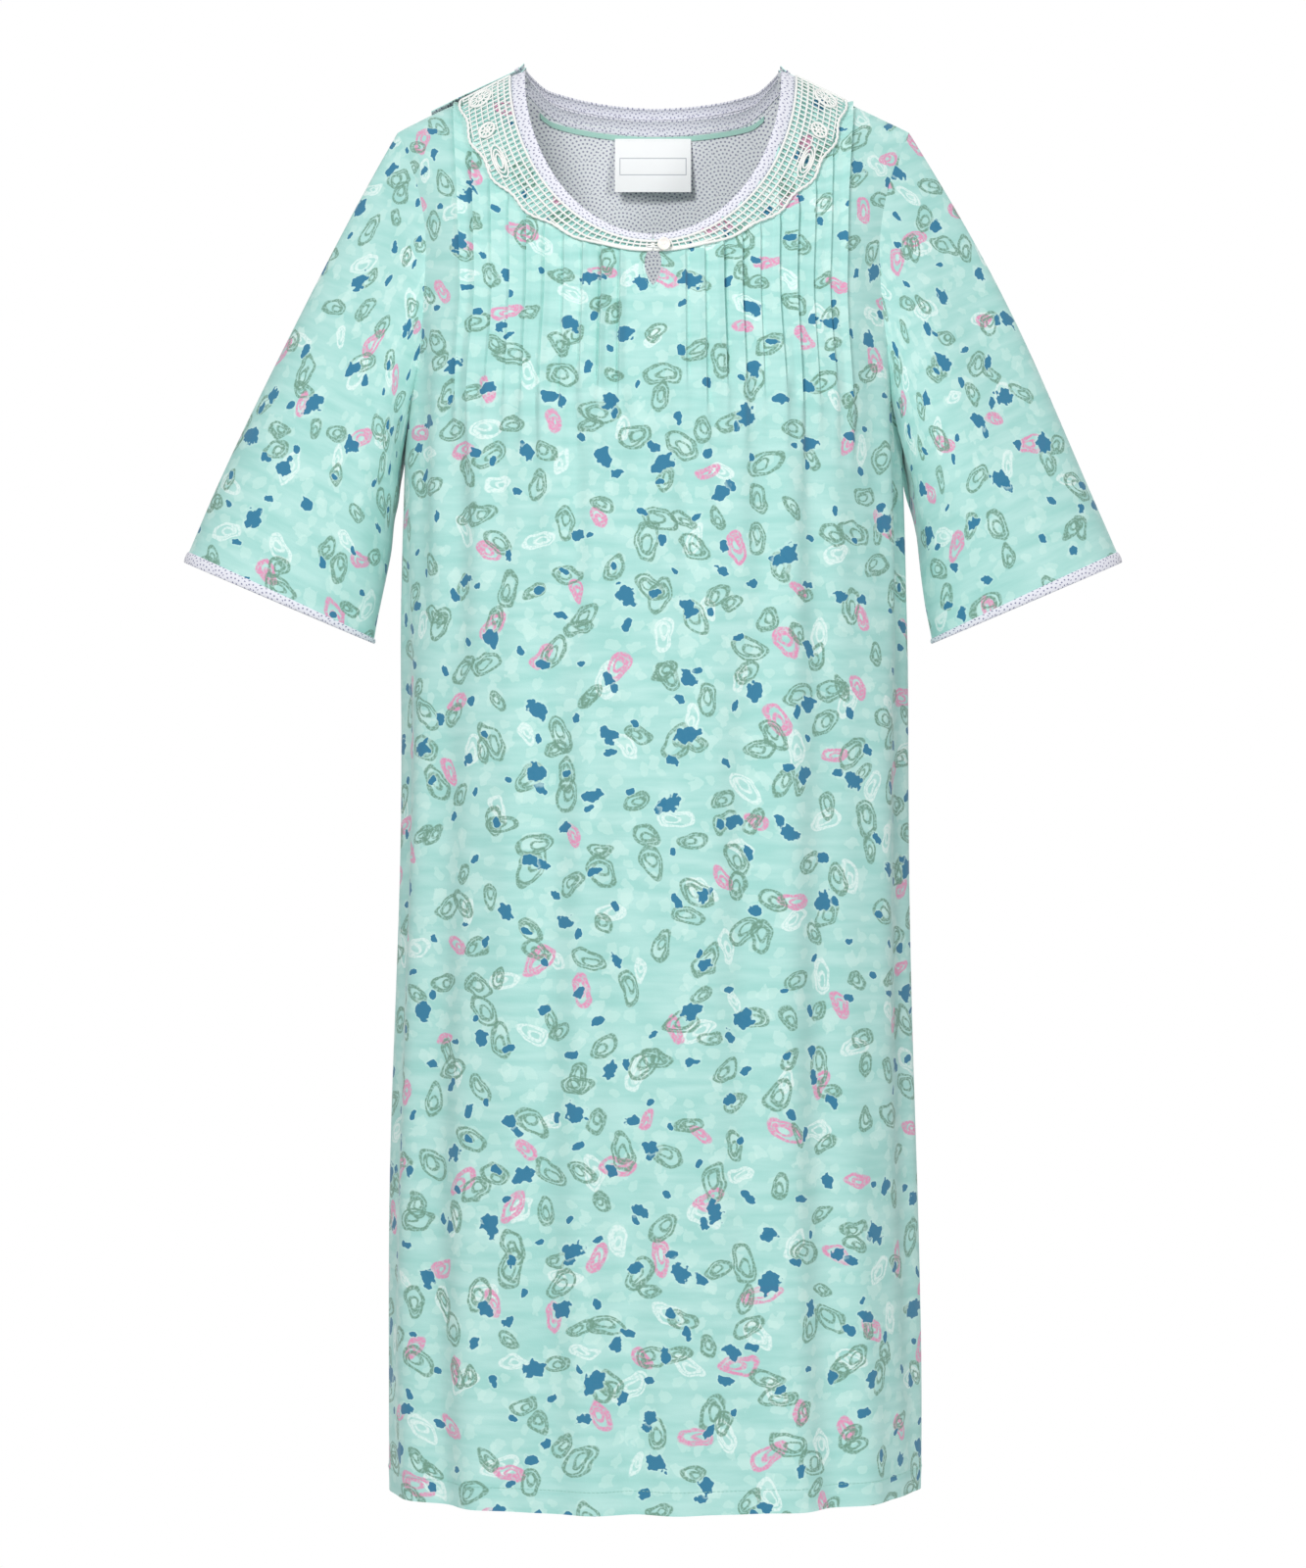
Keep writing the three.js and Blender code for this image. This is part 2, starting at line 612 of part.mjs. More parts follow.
const labelTopZ = -BACK_NECK_DEPTH - tapeTop - TAPE_WIDTH - LABEL_DROP;
const labelSide = placeAt(LABEL_WIDTH / 2, labelTopZ, innerLift);
const labelEdge = onForm(...labelSide, BACK, innerLift(labelSide[0]));
const label = new THREE.BoxGeometry(LABEL_WIDTH, LABEL_THICKNESS, LABEL_HEIGHT);
addPiece('neck_label', label, finishes.label)
  .position.set(0, labelEdge.y - SEAM_GAP - LABEL_THICKNESS / 2, labelTopZ - LABEL_HEIGHT / 2);

// ---- snaps ----
// Where a line from a point crosses a panel: the nearest and the furthest face.
const PROBE = 40;

function crossings(geometry, point, direction) {
  const mesh = new THREE.Mesh(geometry, new THREE.MeshBasicMaterial({ side: THREE.DoubleSide }));
  const start = point.clone().addScaledVector(direction, -PROBE);
  const hits = new THREE.Raycaster(start, direction, 0, PROBE * 2).intersectObject(mesh);
  return [hits[0].distance - PROBE, hits[hits.length - 1].distance - PROBE];
}

function turned(profile) {
  return new THREE.LatheGeometry(profile.map(([r, y]) => new THREE.Vector2(r, y)), 16);
}

function ring(outerRadius, innerRadius, height) {
  const profile = [[innerRadius, 0], [outerRadius, 0], [outerRadius, height], [innerRadius, height],
    [innerRadius, 0]];
  return turned(profile);
}

// One snap. The knob stands on the panel at knobSide, the cap and socket are on the other.
function addSnap(name, x, innerGeometry, outerGeometry, knobSide) {
  const [s, h] = placeAt(x, -SNAP_DROP);
  const middle = (innerLift(s) + outerLift(s) + CLOTH) / 2;
  const place = onForm(s, h, BACK, middle);
  const across = onForm(s + 0.01, h, BACK, middle).sub(onForm(s - 0.01, h, BACK, middle));
  const up = onForm(s, h + 0.01, BACK, middle).sub(onForm(s, h - 0.01, BACK, middle));
  const outwards = up.cross(across).normalize();
  const axis = outwards.clone().multiplyScalar(knobSide === 'inner' ? 1 : -1);
  const [knobCloth, capCloth] = knobSide === 'inner'
    ? [innerGeometry, outerGeometry] : [outerGeometry, innerGeometry];
  const [postFace, studFace] = crossings(knobCloth, place, axis);
  const [socketFace, capFace] = crossings(capCloth, place, axis);
  const socketAt = socketFace - SNAP_GAP - SOCKET_THICKNESS;
  const studAt = studFace + SNAP_GAP;
  const tip = socketAt + KNOB_REACH - studAt;
  const pieces = {
    post: [turned([[0, 0], [POST_RADIUS, 0], [POST_RADIUS, POST_THICKNESS], [0, POST_THICKNESS]]),
      postFace - SNAP_GAP - POST_THICKNESS],
    stud: [turned([[0, 0], [STUD_RADIUS, 0], [STUD_RADIUS, STUD_BASE], [KNOB_RADIUS * 0.8, STUD_BASE],
      [KNOB_RADIUS, tip - KNOB_REACH * 0.6], [KNOB_RADIUS * 0.8, tip], [0, tip]]), studAt],
    socket: [ring(SOCKET_RADIUS, SOCKET_BORE, SOCKET_THICKNESS), socketAt],
    cap: [turned([[0, 0], [CAP_RADIUS, 0], [CAP_RADIUS * 0.9, CAP_THICKNESS * 0.8], [CAP_RADIUS * 0.5,
      CAP_THICKNESS], [0, CAP_THICKNESS]]), capFace + SNAP_GAP],
  };
  for (const [piece, [geometry, along]] of Object.entries(pieces)) {
    const mesh = addPiece(`${name}_${piece}`, geometry, finishes.snap);
    mesh.quaternion.setFromUnitVectors(new THREE.Vector3(0, 1, 0), axis);
    mesh.position.copy(place).addScaledVector(axis, along);
  }
}

SNAP_X.forEach((x, i) => {
  addSnap(`right_snap_${i + 1}`, -x, innerPanel, outerFlap, 'inner');
  addSnap(`left_snap_${i + 1}`, x, innerPanel, outerPanel, 'outer');
});

export default gown;
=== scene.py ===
"""The look of a patient gown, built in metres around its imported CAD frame.

The gown hangs as if it were worn by someone who isn't there: a printed jersey front with pintucks,
two back panels that overlap, elbow sleeves, dotted bindings and a lace collar. +X is the wearer's left
and -Y the front. Lengths are in mm unless a comment says metres.
"""
from __future__ import annotations

import logging
import math
from dataclasses import dataclass
from enum import Enum
from functools import partial
from typing import Callable, ClassVar, Iterable, Sequence

import bpy
import numpy as np
from bpy.types import Material, Node, NodeSocket, NodeTree, Object
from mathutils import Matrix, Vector
from mathutils.geometry import delaunay_2d_cdt

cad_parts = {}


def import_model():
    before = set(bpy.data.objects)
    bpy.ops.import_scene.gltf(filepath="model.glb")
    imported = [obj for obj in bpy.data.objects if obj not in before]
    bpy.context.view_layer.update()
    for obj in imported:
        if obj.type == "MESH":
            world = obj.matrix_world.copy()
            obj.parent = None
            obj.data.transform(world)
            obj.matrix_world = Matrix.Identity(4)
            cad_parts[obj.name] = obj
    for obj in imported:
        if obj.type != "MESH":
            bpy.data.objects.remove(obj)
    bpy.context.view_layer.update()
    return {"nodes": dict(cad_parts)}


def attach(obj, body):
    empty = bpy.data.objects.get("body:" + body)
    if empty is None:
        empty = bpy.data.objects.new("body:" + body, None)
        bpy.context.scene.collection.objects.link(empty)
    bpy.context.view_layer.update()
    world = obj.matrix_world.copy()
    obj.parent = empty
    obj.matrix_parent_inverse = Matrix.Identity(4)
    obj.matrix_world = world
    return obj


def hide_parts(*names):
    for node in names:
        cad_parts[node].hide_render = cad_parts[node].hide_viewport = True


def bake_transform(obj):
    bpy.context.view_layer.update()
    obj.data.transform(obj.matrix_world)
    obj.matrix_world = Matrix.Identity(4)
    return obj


MM = 0.001
LOG = logging.getLogger("gown")
Array = np.ndarray


class Side(Enum):
    """Which half of the gown a point is on."""

    FRONT = -1.0
    BACK = 1.0


class Hand(Enum):
    """The wearer's right or left, as a direction along X."""

    RIGHT = -1.0
    LEFT = 1.0

    @property
    def word(self) -> str:
        """The name that this hand's pieces start with."""
        return "left" if self is Hand.LEFT else "right"


def smooth(t: Array | float) -> Array:
    """Eases from 0 to 1, flat at both ends."""
    t = np.clip(t, 0.0, 1.0)
    return t * t * (3.0 - 2.0 * t)


def mix(a: Array | float, b: Array | float, t: Array | float) -> Array:
    """The value t of the way from a to b."""
    return a + (b - a) * t


def bump(t: Array, centre: float, width: float) -> Array:
    """A soft rise of height 1 around centre, gone at width to each side."""
    return 1.0 - smooth(np.abs(t - centre) / width)


def soft_noise(u: Array, v: Array, seed: float) -> Array:
    """Slow, irregular, repeatable waves between about -1 and 1, in radians of u and v."""
    return (
        np.sin(u * 1.00 + v * 0.31 + seed)
        + np.sin(u * 0.57 - v * 0.83 + seed * 2.3) * 0.8
        + np.sin(u * 1.73 + v * 0.52 + seed * 4.1) * 0.45
        + np.sin(-u * 0.29 + v * 1.21 + seed * 0.7) * 0.6
    ) / 2.2


@dataclass(frozen=True)
class BodyForm:
    """The shape that the gown hangs in, in mm, the same as the CAD's.

    A place on it is (s, h). s runs from -1 at the wearer's right side to 1 at the left. h is the height
    above the chest line: negative and in mm below it, and from 0 to 1 between it and the shoulder's crest.
    """

    chest_z: float = -230.0
    waist_z: float = -470.0
    hem_z: float = -1085.0
    chest_half_width: float = 190.0
    waist_half_width: float = 194.0
    hem_half_width: float = 204.0
    shoulder_half_width: float = 203.0
    chest_half_depth: float = 116.0
    hem_half_depth: float = 126.0
    neck_x: float = 104.0
    shoulder_slope: float = 0.495
    neck_rise: float = 70.0
    section_power: float = 2.3

    def crest(self, x: Array) -> Array:
        """The height of the shoulder line above a distance x from the middle."""
        x = np.abs(x)
        dip = np.maximum(0.0, 1.0 - (x / self.neck_x) ** 2) ** 1.5
        return -self.shoulder_slope * (x - self.neck_x) + self.neck_rise * dip

    def half_width(self, z: Array) -> Array:
        """Half the gown's width at a height below the chest line."""
        upper = mix(self.chest_half_width, self.waist_half_width,
                    smooth((self.chest_z - z) / (self.chest_z - self.waist_z)))
        lower = mix(self.waist_half_width, self.hem_half_width,
                    smooth((self.waist_z - z) / (self.waist_z - self.hem_z)))
        return np.where(z > self.waist_z, upper, lower)

    def half_depth(self, z: Array) -> Array:
        """Half the gown's depth at a height below the chest line."""
        return mix(self.chest_half_depth, self.hem_half_depth,
                   smooth((self.chest_z - z) / (self.chest_z - self.hem_z)))

    def section(self, s: Array) -> Array:
        """How deep the rounded section is at s, as a share of its half depth."""
        return np.sqrt(np.maximum(0.0, 1.0 - np.abs(s) ** self.section_power))

    def place(self, s: Array, h: Array, side: Side, offset: Array | float = 0.0) -> Array:
        """Points in mm at (s, h) on one side, moved outwards by an offset.

        Args:
            s: position across, -1 to 1.
            h: height above the chest line.
            side: front or back.
            offset: distance outside the form, in mm.

        Returns:
            An array of points, the last axis being x, y and z.
        """
        s, h, offset = np.broadcast_arrays(*(np.asarray(given, float) for given in (s, h, offset)))
        low_z = self.chest_z + np.minimum(h, 0.0)
        rise = np.clip(h, 0.0, 1.0)
        top_z = self.crest(self.shoulder_half_width * s) + offset
        z = np.where(h > 0, mix(self.chest_z, top_z, rise), low_z)
        width = np.where(h > 0, mix(self.chest_half_width, self.shoulder_half_width, rise ** 2),
                         self.half_width(low_z))
        depth = np.where(h > 0, self.chest_half_depth * np.maximum(0.0, 1.0 - rise ** 1.5) ** 0.6,
                         self.half_depth(low_z))
        swell = depth + offset * np.minimum(1.0, depth / 20.0)
        return np.stack([(width + offset) * s, side.value * (swell * self.section(s) + 0.2), z], axis=-1)

    def find(self, x: Array, z: Array, lift: Array | float = 0.0) -> tuple[Array, Array]:
        """The (s, h) of the point that is seen at x and z from straight in front.

        Args:
            x: distance to the wearer's left, in mm.
            z: height, in mm.
            lift: how far outside the form the point is.

        Returns:
            Arrays of s and h.
        """
        x, z = np.broadcast_arrays(np.asarray(x, float), np.asarray(z, float))
        s = np.clip(x / self.waist_half_width, -1.0, 1.0)
        h = np.zeros_like(s)
        for _ in range(14):
            top = self.crest(self.shoulder_half_width * s) + lift
            h = np.where(z <= self.chest_z, z - self.chest_z,
                         np.clip((z - self.chest_z) / (top - self.chest_z), 0.0, 1.0))
            above = mix(self.chest_half_width, self.shoulder_half_width, np.clip(h, 0, 1) ** 2)
            wide = np.where(h > 0, above, self.half_width(np.minimum(z, self.chest_z)))
            s = np.clip(x / (wide + lift), -1.0, 1.0)
        return s, h

    def _arc_table(self) -> tuple[Array, Array]:
        """Positions across and the cloth's length from the middle to each, at the waist."""
        turn = np.linspace(-math.pi / 2, math.pi / 2, 721)
        s = np.sin(turn)
        x = self.waist_half_width * s
        y = 0.5 * (self.chest_half_depth + self.hem_half_depth) * self.section(s)
        length = np.concatenate([[0.0], np.cumsum(np.hypot(np.diff(x), np.diff(y)))])
        return s, length - length[360]

    def rise_length(self, s: Array) -> Array:
        """The cloth's length from the chest line up to the shoulder's crest at s."""
        up = self.crest(self.shoulder_half_width * s) - self.chest_z
        return np.hypot(up, self.chest_half_depth * self.section(s)) * 1.06

    def to_cloth(self, s: Array, h: Array) -> tuple[Array, Array]:
        """Distances on the flat cloth in mm, across from the middle and up from the neck point's height."""
        table_s, table_u = self._arc_table()
        u = np.interp(s, table_s, table_u)
        v = self.chest_z + np.where(h > 0, h * self.rise_length(s), h)
        return u, v

    def from_cloth(self, u: Array, v: Array) -> tuple[Array, Array]:
        """The (s, h) of a place on the flat cloth."""
        table_s, table_u = self._arc_table()
        s = np.interp(u, table_u, table_s)
        above = v - self.chest_z
        return s, np.where(above > 0, above / self.rise_length(s), above)

    @property
    def half_girth(self) -> float:
        """The cloth's length from the middle of the front to the side."""
        return float(self._arc_table()[1][-1])


FORM = BodyForm()


@dataclass(frozen=True)
class NeckLine:
    """The rounded neck, in mm: half the width of each half ellipse and its depth below the neck point."""

    opening: tuple[float, float] = (98.0, 138.0)
    binding: tuple[float, float] = (109.0, 143.0)
    lace: tuple[float, float] = (150.0, 152.0)
    back_depth: float = 15.0
    back_binding: float = 9.0
    inner_step: float = 6.0
    tape: float = 7.0
    seam_rise: float = 5.2

    def arc(self, ellipse: tuple[float, float], share: Array, hand: Hand) -> Array:
        """Points (x, z) on half an ellipse: share 0 is at the shoulder, 1 at the middle of the front."""
        start = self.start(ellipse)
        angle = mix(start, math.pi / 2, np.asarray(share, float))
        return np.stack([hand.value * ellipse[0] * np.cos(angle), -ellipse[1] * np.sin(angle)], axis=-1)

    def start(self, ellipse: tuple[float, float]) -> float:
        """The angle at which an ellipse crosses the shoulder line."""
        angle = 0.0
        for _ in range(20):
            crest = min(0.0, float(FORM.crest(ellipse[0] * math.cos(angle)))) - 1.0
            angle = math.asin(min(1.0, max(0.0, -crest / ellipse[1])))
        return angle

    def back_rim(self, x: Array) -> Array:
        """The height of the back neck's edge at x."""
        dip = -self.back_depth * np.sqrt(np.maximum(0.0, 1.0 - (x / self.opening[0]) ** 2))
        return dip + self.seam_rise * smooth((np.abs(x) - 0.8 * self.opening[0]) / (0.2 * self.opening[0]))


NECK = NeckLine()


@dataclass(frozen=True)
class Armhole:
    """The seam between body and sleeve, in mm."""

    narrowest: float = 172.5
    narrowest_z: float = -145.0
    top_bend: float = 0.00245
    low_bend: float = 0.0009
    underarm_z: float = -285.0
    tip_z: float = -47.5

    def x(self, z: Array) -> Array:
        """How far from the middle the seam is at a height."""
        away = np.asarray(z, float) - self.narrowest_z
        return self.narrowest + np.where(away > 0, self.top_bend, self.low_bend) * away ** 2


ARMHOLE = Armhole()


# ---- materials -----------------------------------------------------------------------------------

def colour(code: str) -> tuple[float, float, float, float]:
    """The linear colour of an sRGB hex code.

    Args:
        code: six hex digits, with or without a leading #.

    Returns:
        Red, green, blue and an alpha of 1, in linear light.
    """
    parts = [int(code.lstrip("#")[i:i + 2], 16) / 255 for i in (0, 2, 4)]
    linear = [p / 12.92 if p <= 0.04045 else ((p + 0.055) / 1.055) ** 2.4 for p in parts]
    return (linear[0], linear[1], linear[2], 1.0)


def feed(tree: NodeTree, source: object, socket: NodeSocket) -> None:
    """Links a socket, or a node's first output in use, to an input, or sets the input to a constant."""
    if isinstance(source, Node):
        source = next(output for output in source.outputs if output.enabled)
    if isinstance(source, NodeSocket):
        tree.links.new(source, socket)
    else:
        socket.default_value = source


def add(tree: NodeTree, kind: str, *sources: object, **settings: object) -> Node:
    """Adds a node with its settings, and its inputs linked or set.

    Args:
        tree: the node tree.
        kind: the node's type, and its operation after a dot if it has one, such as Math.ADD.
        sources: what feeds its inputs in order, or one dict of input names or numbers to what feeds them.
        settings: the node's own properties.

    Returns:
        The node.
    """
    kind, _, operation = kind.partition(".")
    node = tree.nodes.new(f"ShaderNode{kind}")
    if operation:
        node.operation = operation
    for name, value in settings.items():
        setattr(node, name, value)
    named = sources[0] if sources and isinstance(sources[0], dict) else dict(enumerate(sources))
    for key, source in named.items():
        feed(tree, source, node.inputs[key])
    return node


def fade(tree: NodeTree, value: object, full: object, none: object) -> Node:
    """1 where value is at full or nearer, falling smoothly to 0 at none."""
    return add(tree, "MapRange", value, full, none, 1.0, 0.0, interpolation_type="SMOOTHSTEP")


def group(name: str, inputs: dict[str, str], outputs: Sequence[str]) -> tuple:
    """A new node group with its interface.

    Args:
        name: what the group is called.
        inputs: input name to socket type, Vector or Float.
        outputs: the names of its float outputs.

    Returns:
        The tree, its input node and its output node.
    """
    tree = bpy.data.node_groups.new(name, "ShaderNodeTree")
    for label, kind in inputs.items():
        tree.interface.new_socket(name=label, in_out="INPUT", socket_type=f"NodeSocket{kind}")
    for label in outputs:
        tree.interface.new_socket(name=label, in_out="OUTPUT", socket_type="NodeSocketFloat")
    return tree, tree.nodes.new("NodeGroupInput"), tree.nodes.new("NodeGroupOutput")


MOTIF_INPUTS = {"Cloth": "Vector", "Cell": "Float", "Turn": "Float", "Shift": "Float", "Long": "Float",
                "Short": "Float", "Line": "Float", "Share": "Float", "Wobble": "Float"}
CELL_FREEDOM = 0.46


def scattered(tree: NodeTree, given: Node) -> tuple:
    """One motif to each cell.

    Args:
        tree: the group's tree.
        given: its input node.

    Returns:
        Coordinates that are 1 at the motif's outline, its size, whether it is drawn, and its place.
    """
    make = partial(add, tree)
    turned = make("VectorRotate", {"Vector": given.outputs["Cloth"], "Angle": given.outputs["Turn"]},
                  rotation_type="Z_AXIS")
    moved = make("VectorMath.ADD", turned, given.outputs["Shift"])
    density = make("Math.DIVIDE", 1.0, given.outputs["Cell"])
    cells = make("TexVoronoi", {"Vector": moved, "Scale": density, "Randomness": CELL_FREEDOM},
                 voronoi_dimensions="2D")
    local = make("VectorMath.SUBTRACT", moved, cells.outputs["Position"])
    ripple = make("TexNoise", {"Vector": moved, "Scale": 0.055, "Detail": 1.0}, noise_dimensions="2D")
    centred = make("VectorMath.SUBTRACT", ripple.outputs["Color"], (0.5, 0.5, 0.5))
    strength = make("CombineXYZ", given.outputs["Wobble"], given.outputs["Wobble"])
    local = make("VectorMath.ADD", local, make("VectorMath.MULTIPLY", centred, strength))
    chance = make("SeparateColor", cells.outputs["Color"])
    turn = make("Math.MULTIPLY", chance.outputs[0], math.tau)
    spun = make("VectorRotate", {"Vector": local, "Angle": turn}, rotation_type="Z_AXIS")
    size = make("Math.MULTIPLY_ADD", chance.outputs[1], 0.42, 0.58)
    long, short = (make("Math.MULTIPLY", given.outputs[side], size) for side in ("Long", "Short"))
    shrunk = make("VectorMath.DIVIDE", spun, make("CombineXYZ", long, short, 1.0))
    flat = make("VectorMath.MULTIPLY", shrunk, (1.0, 1.0, 0.0))
    used = make("Math.LESS_THAN", chance.outputs[2], given.outputs["Share"])
    return flat, size, used, moved


def loop_group() -> NodeTree:
    """Scribbled ovals: three brush lines round and round, as an ink pen leaves them."""
    tree, given, out = group("scribbled_loops", MOTIF_INPUTS, ["Mask"])
    make = partial(add, tree)
    flat, size, used, moved = scattered(tree, given)
    breadth = make("Math.MULTIPLY", given.outputs["Short"], size)
    total: object = 0.0
    for radius, shift in ((0.93, (0.0, 0.0, 0.0)), (0.74, (0.10, -0.07, 0.0)), (0.40, (-0.16, 0.05, 0.0))):
        reach = make("VectorMath.LENGTH", make("VectorMath.SUBTRACT", flat, shift))
        away = make("Math.MULTIPLY", make("Math.ABSOLUTE", make("Math.SUBTRACT", reach, radius)), breadth)
        line = fade(tree, away, make("Math.MULTIPLY", given.outputs["Line"], 0.35), given.outputs["Line"])
        total = make("Math.MAXIMUM", total, line)
    dry = make("TexNoise", {"Vector": moved, "Scale": 0.55, "Detail": 2.0}, noise_dimensions="2D")
    ink = make("MapRange", dry.outputs[0], 0.35, 0.55, 0.45, 1.0)
    mask = make("Math.MULTIPLY", make("Math.MULTIPLY", total, ink), used)
    feed(tree, mask, out.inputs[0])
    return tree


def dab_group() -> NodeTree:
    """Torn, angular dabs of solid ink, with the paler ring that the dye leaves round them."""
    tree, given, out = group("ink_dabs", MOTIF_INPUTS, ["Mask", "Halo"])
    make = partial(add, tree)
    flat, _, used, moved = scattered(tree, given)
    parts = make("SeparateXYZ", make("VectorMath.ABSOLUTE", flat))
    square = make("Math.MAXIMUM", parts.outputs[0], parts.outputs[1])
    diamond = make("Math.ADD", parts.outputs[0], parts.outputs[1])
    reach = make("Math.ADD", make("Math.MULTIPLY", square, 0.62), make("Math.MULTIPLY", diamond, 0.34))
    torn = make("TexNoise", {"Vector": moved, "Scale": 0.17, "Detail": 1.5, "Roughness": 0.5},
                noise_dimensions="2D")
    ragged = make("Math.ADD", reach, make("Math.MULTIPLY", make("Math.SUBTRACT", torn, 0.5), 1.5))
    mask = make("Math.MULTIPLY", fade(tree, ragged, 0.90, 1.0), used)
    halo = make("Math.MULTIPLY", fade(tree, ragged, 1.0, 1.5), used)
    feed(tree, mask, out.inputs[0])
    feed(tree, halo, out.inputs[1])
    return tree


@dataclass(frozen=True)
class Motif:
    """One layer of the print: what is drawn, how big, how often and in what ink. Lengths are in mm."""

    kind: str
    ink: str
    cell: float
    turn: float
    shift: float
    long: float
    short: float
    line: float = 1.2
    share: float = 1.0
    wobble: float = 4.0
    strength: float = 1.0
    halo: float = 0.0


PRINT_LAYERS = (
    Motif("ink_dabs", "#CDEFE7", 17, 8, 40, 6.6, 4.8, share=0.8, wobble=2.0, strength=0.42),
    Motif("ink_dabs", "#D5F3EC", 26, 31, 170, 8.5, 6.0, share=0.6, wobble=3.0, strength=0.40),
    Motif("scribbled_loops", "#E6F8F4", 54, 64, 310, 15.0, 7.5,
          line=1.0, share=0.70, wobble=9.0, strength=0.85),
    Motif("scribbled_loops", "#E58FB8", 58, 19, 520, 14.0, 7.2,
          line=1.25, share=0.66, wobble=8.0, strength=0.95),
    Motif("scribbled_loops", "#6F9A87", 41, 37, 90, 14.0, 8.2,
          line=1.05, share=0.9, wobble=8.0, strength=0.95),
    Motif("scribbled_loops", "#6F9A87", 53, 71, 730, 16.0, 9.0,
          line=1.1, share=0.70, wobble=9.0, strength=0.95),
    Motif("ink_dabs", "#24779C", 32, 52, 260, 5.6, 3.5, share=0.68, wobble=2.0, strength=0.97, halo=0.45),
    Motif("ink_dabs", "#24779C", 48, 12, 610, 9.0, 6.6, share=0.62, wobble=3.0, strength=0.97, halo=0.5),
)


@dataclass(frozen=True)
class Cloth:
    """A finish for cloth: its name, base colour, how rough it is and how much fuzz catches the light."""

    name: str
    base: str
    roughness: float = 0.88
    sheen: float = 0.25
    grain: float = 0.9


def shaded(name: str, **values: object) -> Material:
    """A material named for the real one and its surface, with constants on its Principled shader."""
    material = bpy.data.materials.new(name)
    material.use_nodes = True
    for socket, value in values.items():
        feed(material.node_tree, value, shader_input(material, socket.replace("_", " ")))
    return material


def shader_input(material: Material, name: str) -> NodeSocket:
    """An input of a material's Principled shader."""
    return material.node_tree.nodes["Principled BSDF"].inputs[name]


def cloth_mm(tree: NodeTree) -> Node:
    """The flat cloth's coordinates in mm."""
    uv = add(tree, "UVMap", uv_map="cloth")
    return add(tree, "Mapping", {"Vector": uv, "Scale": (1 / MM, 1 / MM, 1 / MM)})


def tint(tree: NodeTree, amount: object, under: object, over: str) -> Node:
    """A colour with a share of an sRGB hex colour laid over it."""
    return add(tree, "Mix", {0: amount, 6: under, 7: colour(over)}, data_type="RGBA")


